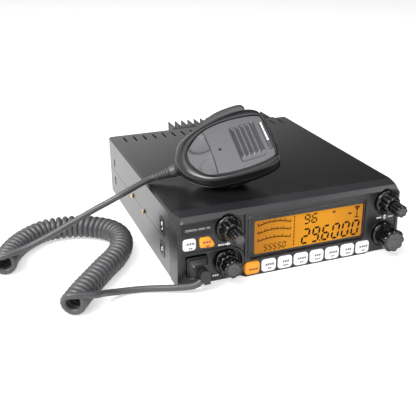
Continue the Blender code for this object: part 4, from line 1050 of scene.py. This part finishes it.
def make_mic_plate():
    """The face plate: lines across it from edge to edge, each following plate_height."""
    loop = smooth_loop(FACE_PLAN, 12)
    low_u, high_u = min(p.x for p in loop) + 0.05, max(p.x for p in loop) - 0.05

    def span(u):
        hits = []
        for a, b in zip(loop, [*loop[1:], loop[0]]):
            if (a.x - u) * (b.x - u) < 0:
                hits.append(a.y + (b.y - a.y) * (u - a.x) / (b.x - a.x))
        return min(hits), max(hits)

    stops = []
    u = low_u
    while u < high_u:
        stops.append(u)
        fine = 12.0 < u < 34.6 or -10.5 < u < -6.5 or -1.6 < u < 1.4
        u += min(0.3 if fine else 0.7, 0.08 + 0.4 * min(u - low_u, high_u - u))
    stops.append(high_u)
    count = 90
    bm = bmesh.new()
    rows = []
    for u in stops:
        v0, v1 = span(u)
        row = []
        for k in range(count + 1):
            # Points lie closer together near both ends of a line.
            angle = math.pi * (0.08 + 0.84 * k / count)
            v = v0 + (v1 - v0) * (0.5 - 0.5 * math.cos(angle) / math.cos(math.pi * 0.08))
            edge = min(v - v0, v1 - v, (u - low_u) * 0.8, (high_u - u) * 0.8)
            row.append(bm.verts.new((u, v, plate_height(u, v, max(edge, 0.0)))))
        rows.append(row)
    for one, two in zip(rows, rows[1:]):
        for k in range(count):
            bm.faces.new((one[k], two[k], two[k + 1], one[k + 1]))
    rim = [*rows[0], *(row[-1] for row in rows[1:-1]), *rows[-1][::-1], *(row[0] for row in rows[-2:0:-1])]
    foot = [bm.verts.new((v.co.x, v.co.y, -2.4)) for v in rim]
    for i in range(len(rim)):
        j = (i + 1) % len(rim)
        bm.faces.new((rim[i], rim[j], foot[j], foot[i]))
    bm.faces.new(foot)
    add_piece("mic_plate_moulding", bm, MIC_GREY, "handset", MIC, ["mic_face_plate"], smooth_angle=50)

    # Dark gauze behind the slots and the sound hole, in black that also paints in the shade deep inside them.
    bm = bmesh.new()
    v0, v1 = GRILLE_SLOT
    for k in range(GRILLE_SLOTS):
        u = GRILLE_FIRST + GRILLE_PITCH * k
        outline = [(u - 0.9, v0), (u - 0.9, v1), (u + 0.9, v1), (u + 0.9, v0)]
        loft(bm, [level(outline, -2.6), level(outline, -1.25)])
    outline = rounded(-0.1, 0.0, 2.0, 2.0, 0.9)
    loft(bm, [level(outline, -2.0), level(outline, -0.7)])
    rim = [Vector((point.x, point.z, 0.75)) for point in circle(-0.1, 0.0, 0.0, 1.05, 32)]
    tube(bm, rim, 0.28, 10, closed=True)
    add_piece("mic_gauze_and_shade", bm, BLACK_PLASTIC, "handset", MIC)

    # A dark strip near the far end, with a row of plain silver bars.
    rings = []
    for amount, w in ((0.0, -0.9), (0.0, 0.2), (0.25, 0.42), (0.7, 0.45)):
        rings.append(level(shrunk(rounded(39.5, -0.6, 4.0, 31.0, 1.9, 6), amount), w))
    bm = loft(bmesh.new(), rings)
    add_piece("mic_badge", bm, KEY_GREY, "handset", MIC, smooth_angle=50)
    bm = bmesh.new()
    for k in range(6):
        v = 11.2 - 3.6 * k
        outline = [(39.0, v), (40.4, v + 0.3), (40.4, v + 3.1), (39.0, v + 2.8)]
        loft(bm, [level(outline, 0.3), level(outline, 0.55)])
    add_piece("mic_badge_bars", bm, BADGE, "handset", MIC)


def make_talk_key():
    outer = smooth_route([(*p, 0.0) for p in KEY_OUTER], 1.2)
    inner = smooth_route([(*p, 0.0) for p in KEY_INNER], 2.5)
    plan = [Vector((p.x, p.y)) for p in [*outer, *inner]]
    rings = []
    for amount, w in (
        (1.2, KEY_LOW), (0.35, KEY_LOW + 0.4), (0.0, KEY_LOW + 1.3), (0.0, KEY_HIGH - 2.2),
        (0.3, KEY_HIGH - 1.0), (1.0, KEY_HIGH - 0.2), (2.0, KEY_HIGH),
    ):
        rings.append(level(inset(plan, amount), w))
    bm = loft(bmesh.new(), rings)
    add_piece("talk_key_moulding", bm, KEY_GREY, "talk_key_bar", MIC, ["talk_key"], 50)
    # Small raised dashes along its top.
    bm = bmesh.new()
    for u, v in ((6.8, 38.6), (10.3, 39.1), (16.6, 39.5), (20.8, 39.6), (27.2, 39.3)):
        outline = rounded(u, v, 2.3, 0.7, 0.3, 3)
        loft(bm, [level(outline, KEY_HIGH - 0.3), level(outline, KEY_HIGH + 0.3)])
    add_piece("talk_key_dashes", bm, MIC_GREY, "talk_key_bar", MIC)


# ---- Sides ----
def make_side_details():
    """Thin black rims round the openings of the two sides, painted shade that widens their dark, and a ring
    and a screw in each opening.
    """
    shade_rims, rings = bmesh.new(), bmesh.new()
    for side in (-1, 1):
        for hole, outer in (
            ((34.9, 41.1, 32.9, 44.1), (32.6, 44.0, 30.4, 46.2)),
            ((35.9, 44.1, 13.9, 21.1), (32.8, 46.0, 10.8, 24.0)),
        ):
            shapes = []
            for outline, x in (
                (box_outline(*outer, 2.6), 100.3), (box_outline(*hole, 0.2), 100.3),
                (box_outline(*hole, 0.2), 99.5), (box_outline(*outer, 2.6), 99.5),
            ):
                shapes.append([(side * x, y, z) for y, z in outline])
            hoop(shade_rims, shapes)
        for y, z, radius in ((38.0, 40.4, 1.7), (38.0, 35.6, 0.8), (40.0, 17.0, 1.9)):
            path = [Vector((side * 99.8, point.x, point.z)) for point in circle(y, 0.0, z, radius, 32)]
            tube(rings, path, 0.4, 8, closed=True)
    add_piece("side_opening_shade", shade_rims, BLACK_PLASTIC, "root")
    add_piece("side_rings", rings, CHROME, "root", smooth_angle=60)


# ---- Stage ----
def make_stage():
    bm = bmesh.new()
    bmesh.ops.create_grid(bm, x_segments=1, y_segments=1, size=FLOOR_HALF)
    floor = mesh_object("floor", bm)
    look = surface(
        "floor_white", (0.55, 0.55, 0.55), 0.7, mottle=0.0, vary=0.0,
        Emission_Color=(1.0, 1.0, 1.0, 1.0), Emission_Strength=FLOOR_GLOW
    )
    floor.data.materials.append(look)


def area_light(name, location, size, power):
    """A rectangular soft box that looks at the world's origin."""
    data = bpy.data.lights.new(name, "AREA")
    data.shape = "RECTANGLE"
    data.size, data.size_y = size
    data.energy = power
    light = new_object(name, data)
    light.location = location
    light.rotation_mode = "QUATERNION"
    light.rotation_quaternion = (-Vector(location)).to_track_quat("-Z", "Y")


def make_lights():
    """A studio: bright low walls, darkness above them, a wide soft box overhead and two small ones."""
    world = bpy.data.worlds.new("studio")
    world.use_nodes = True
    bpy.context.scene.world = world
    tree = world.node_tree
    direction = tree.nodes.new("ShaderNodeTexCoord").outputs["Generated"]
    parts = add_node(tree, "SeparateXYZ", {}, {"Vector": direction}).outputs
    # The walls' upper edge slopes down towards the right.
    tilted = add_node(
        tree, "Math", {1: WALL_SLOPE}, {0: parts["X"], 2: parts["Z"]}, operation="MULTIPLY_ADD"
    ).outputs["Value"]
    background = tree.nodes["Background"]
    background.inputs["Color"].default_value = (1.0, 1.0, 1.0, 1.0)
    tree.links.new(ramp(tree, tilted, *WALL_EDGE, WALL_LIGHT, DARK_LIGHT), background.inputs["Strength"])
    for name, (location, size, power) in SOFT_BOXES.items():
        area_light(name, location, size, power)
    bpy.context.scene.view_settings.view_transform = "Standard"


make_camera()
make_cord()
dress_nodes()
make_window_rim()
make_mask()
make_buttons()
make_legends()
make_ridge()
make_ribs()
make_display()
make_knobs()
make_dish_rims()
make_mic_shells()
make_mic_plate()
make_talk_key()
make_side_details()
make_stage()
make_lights()
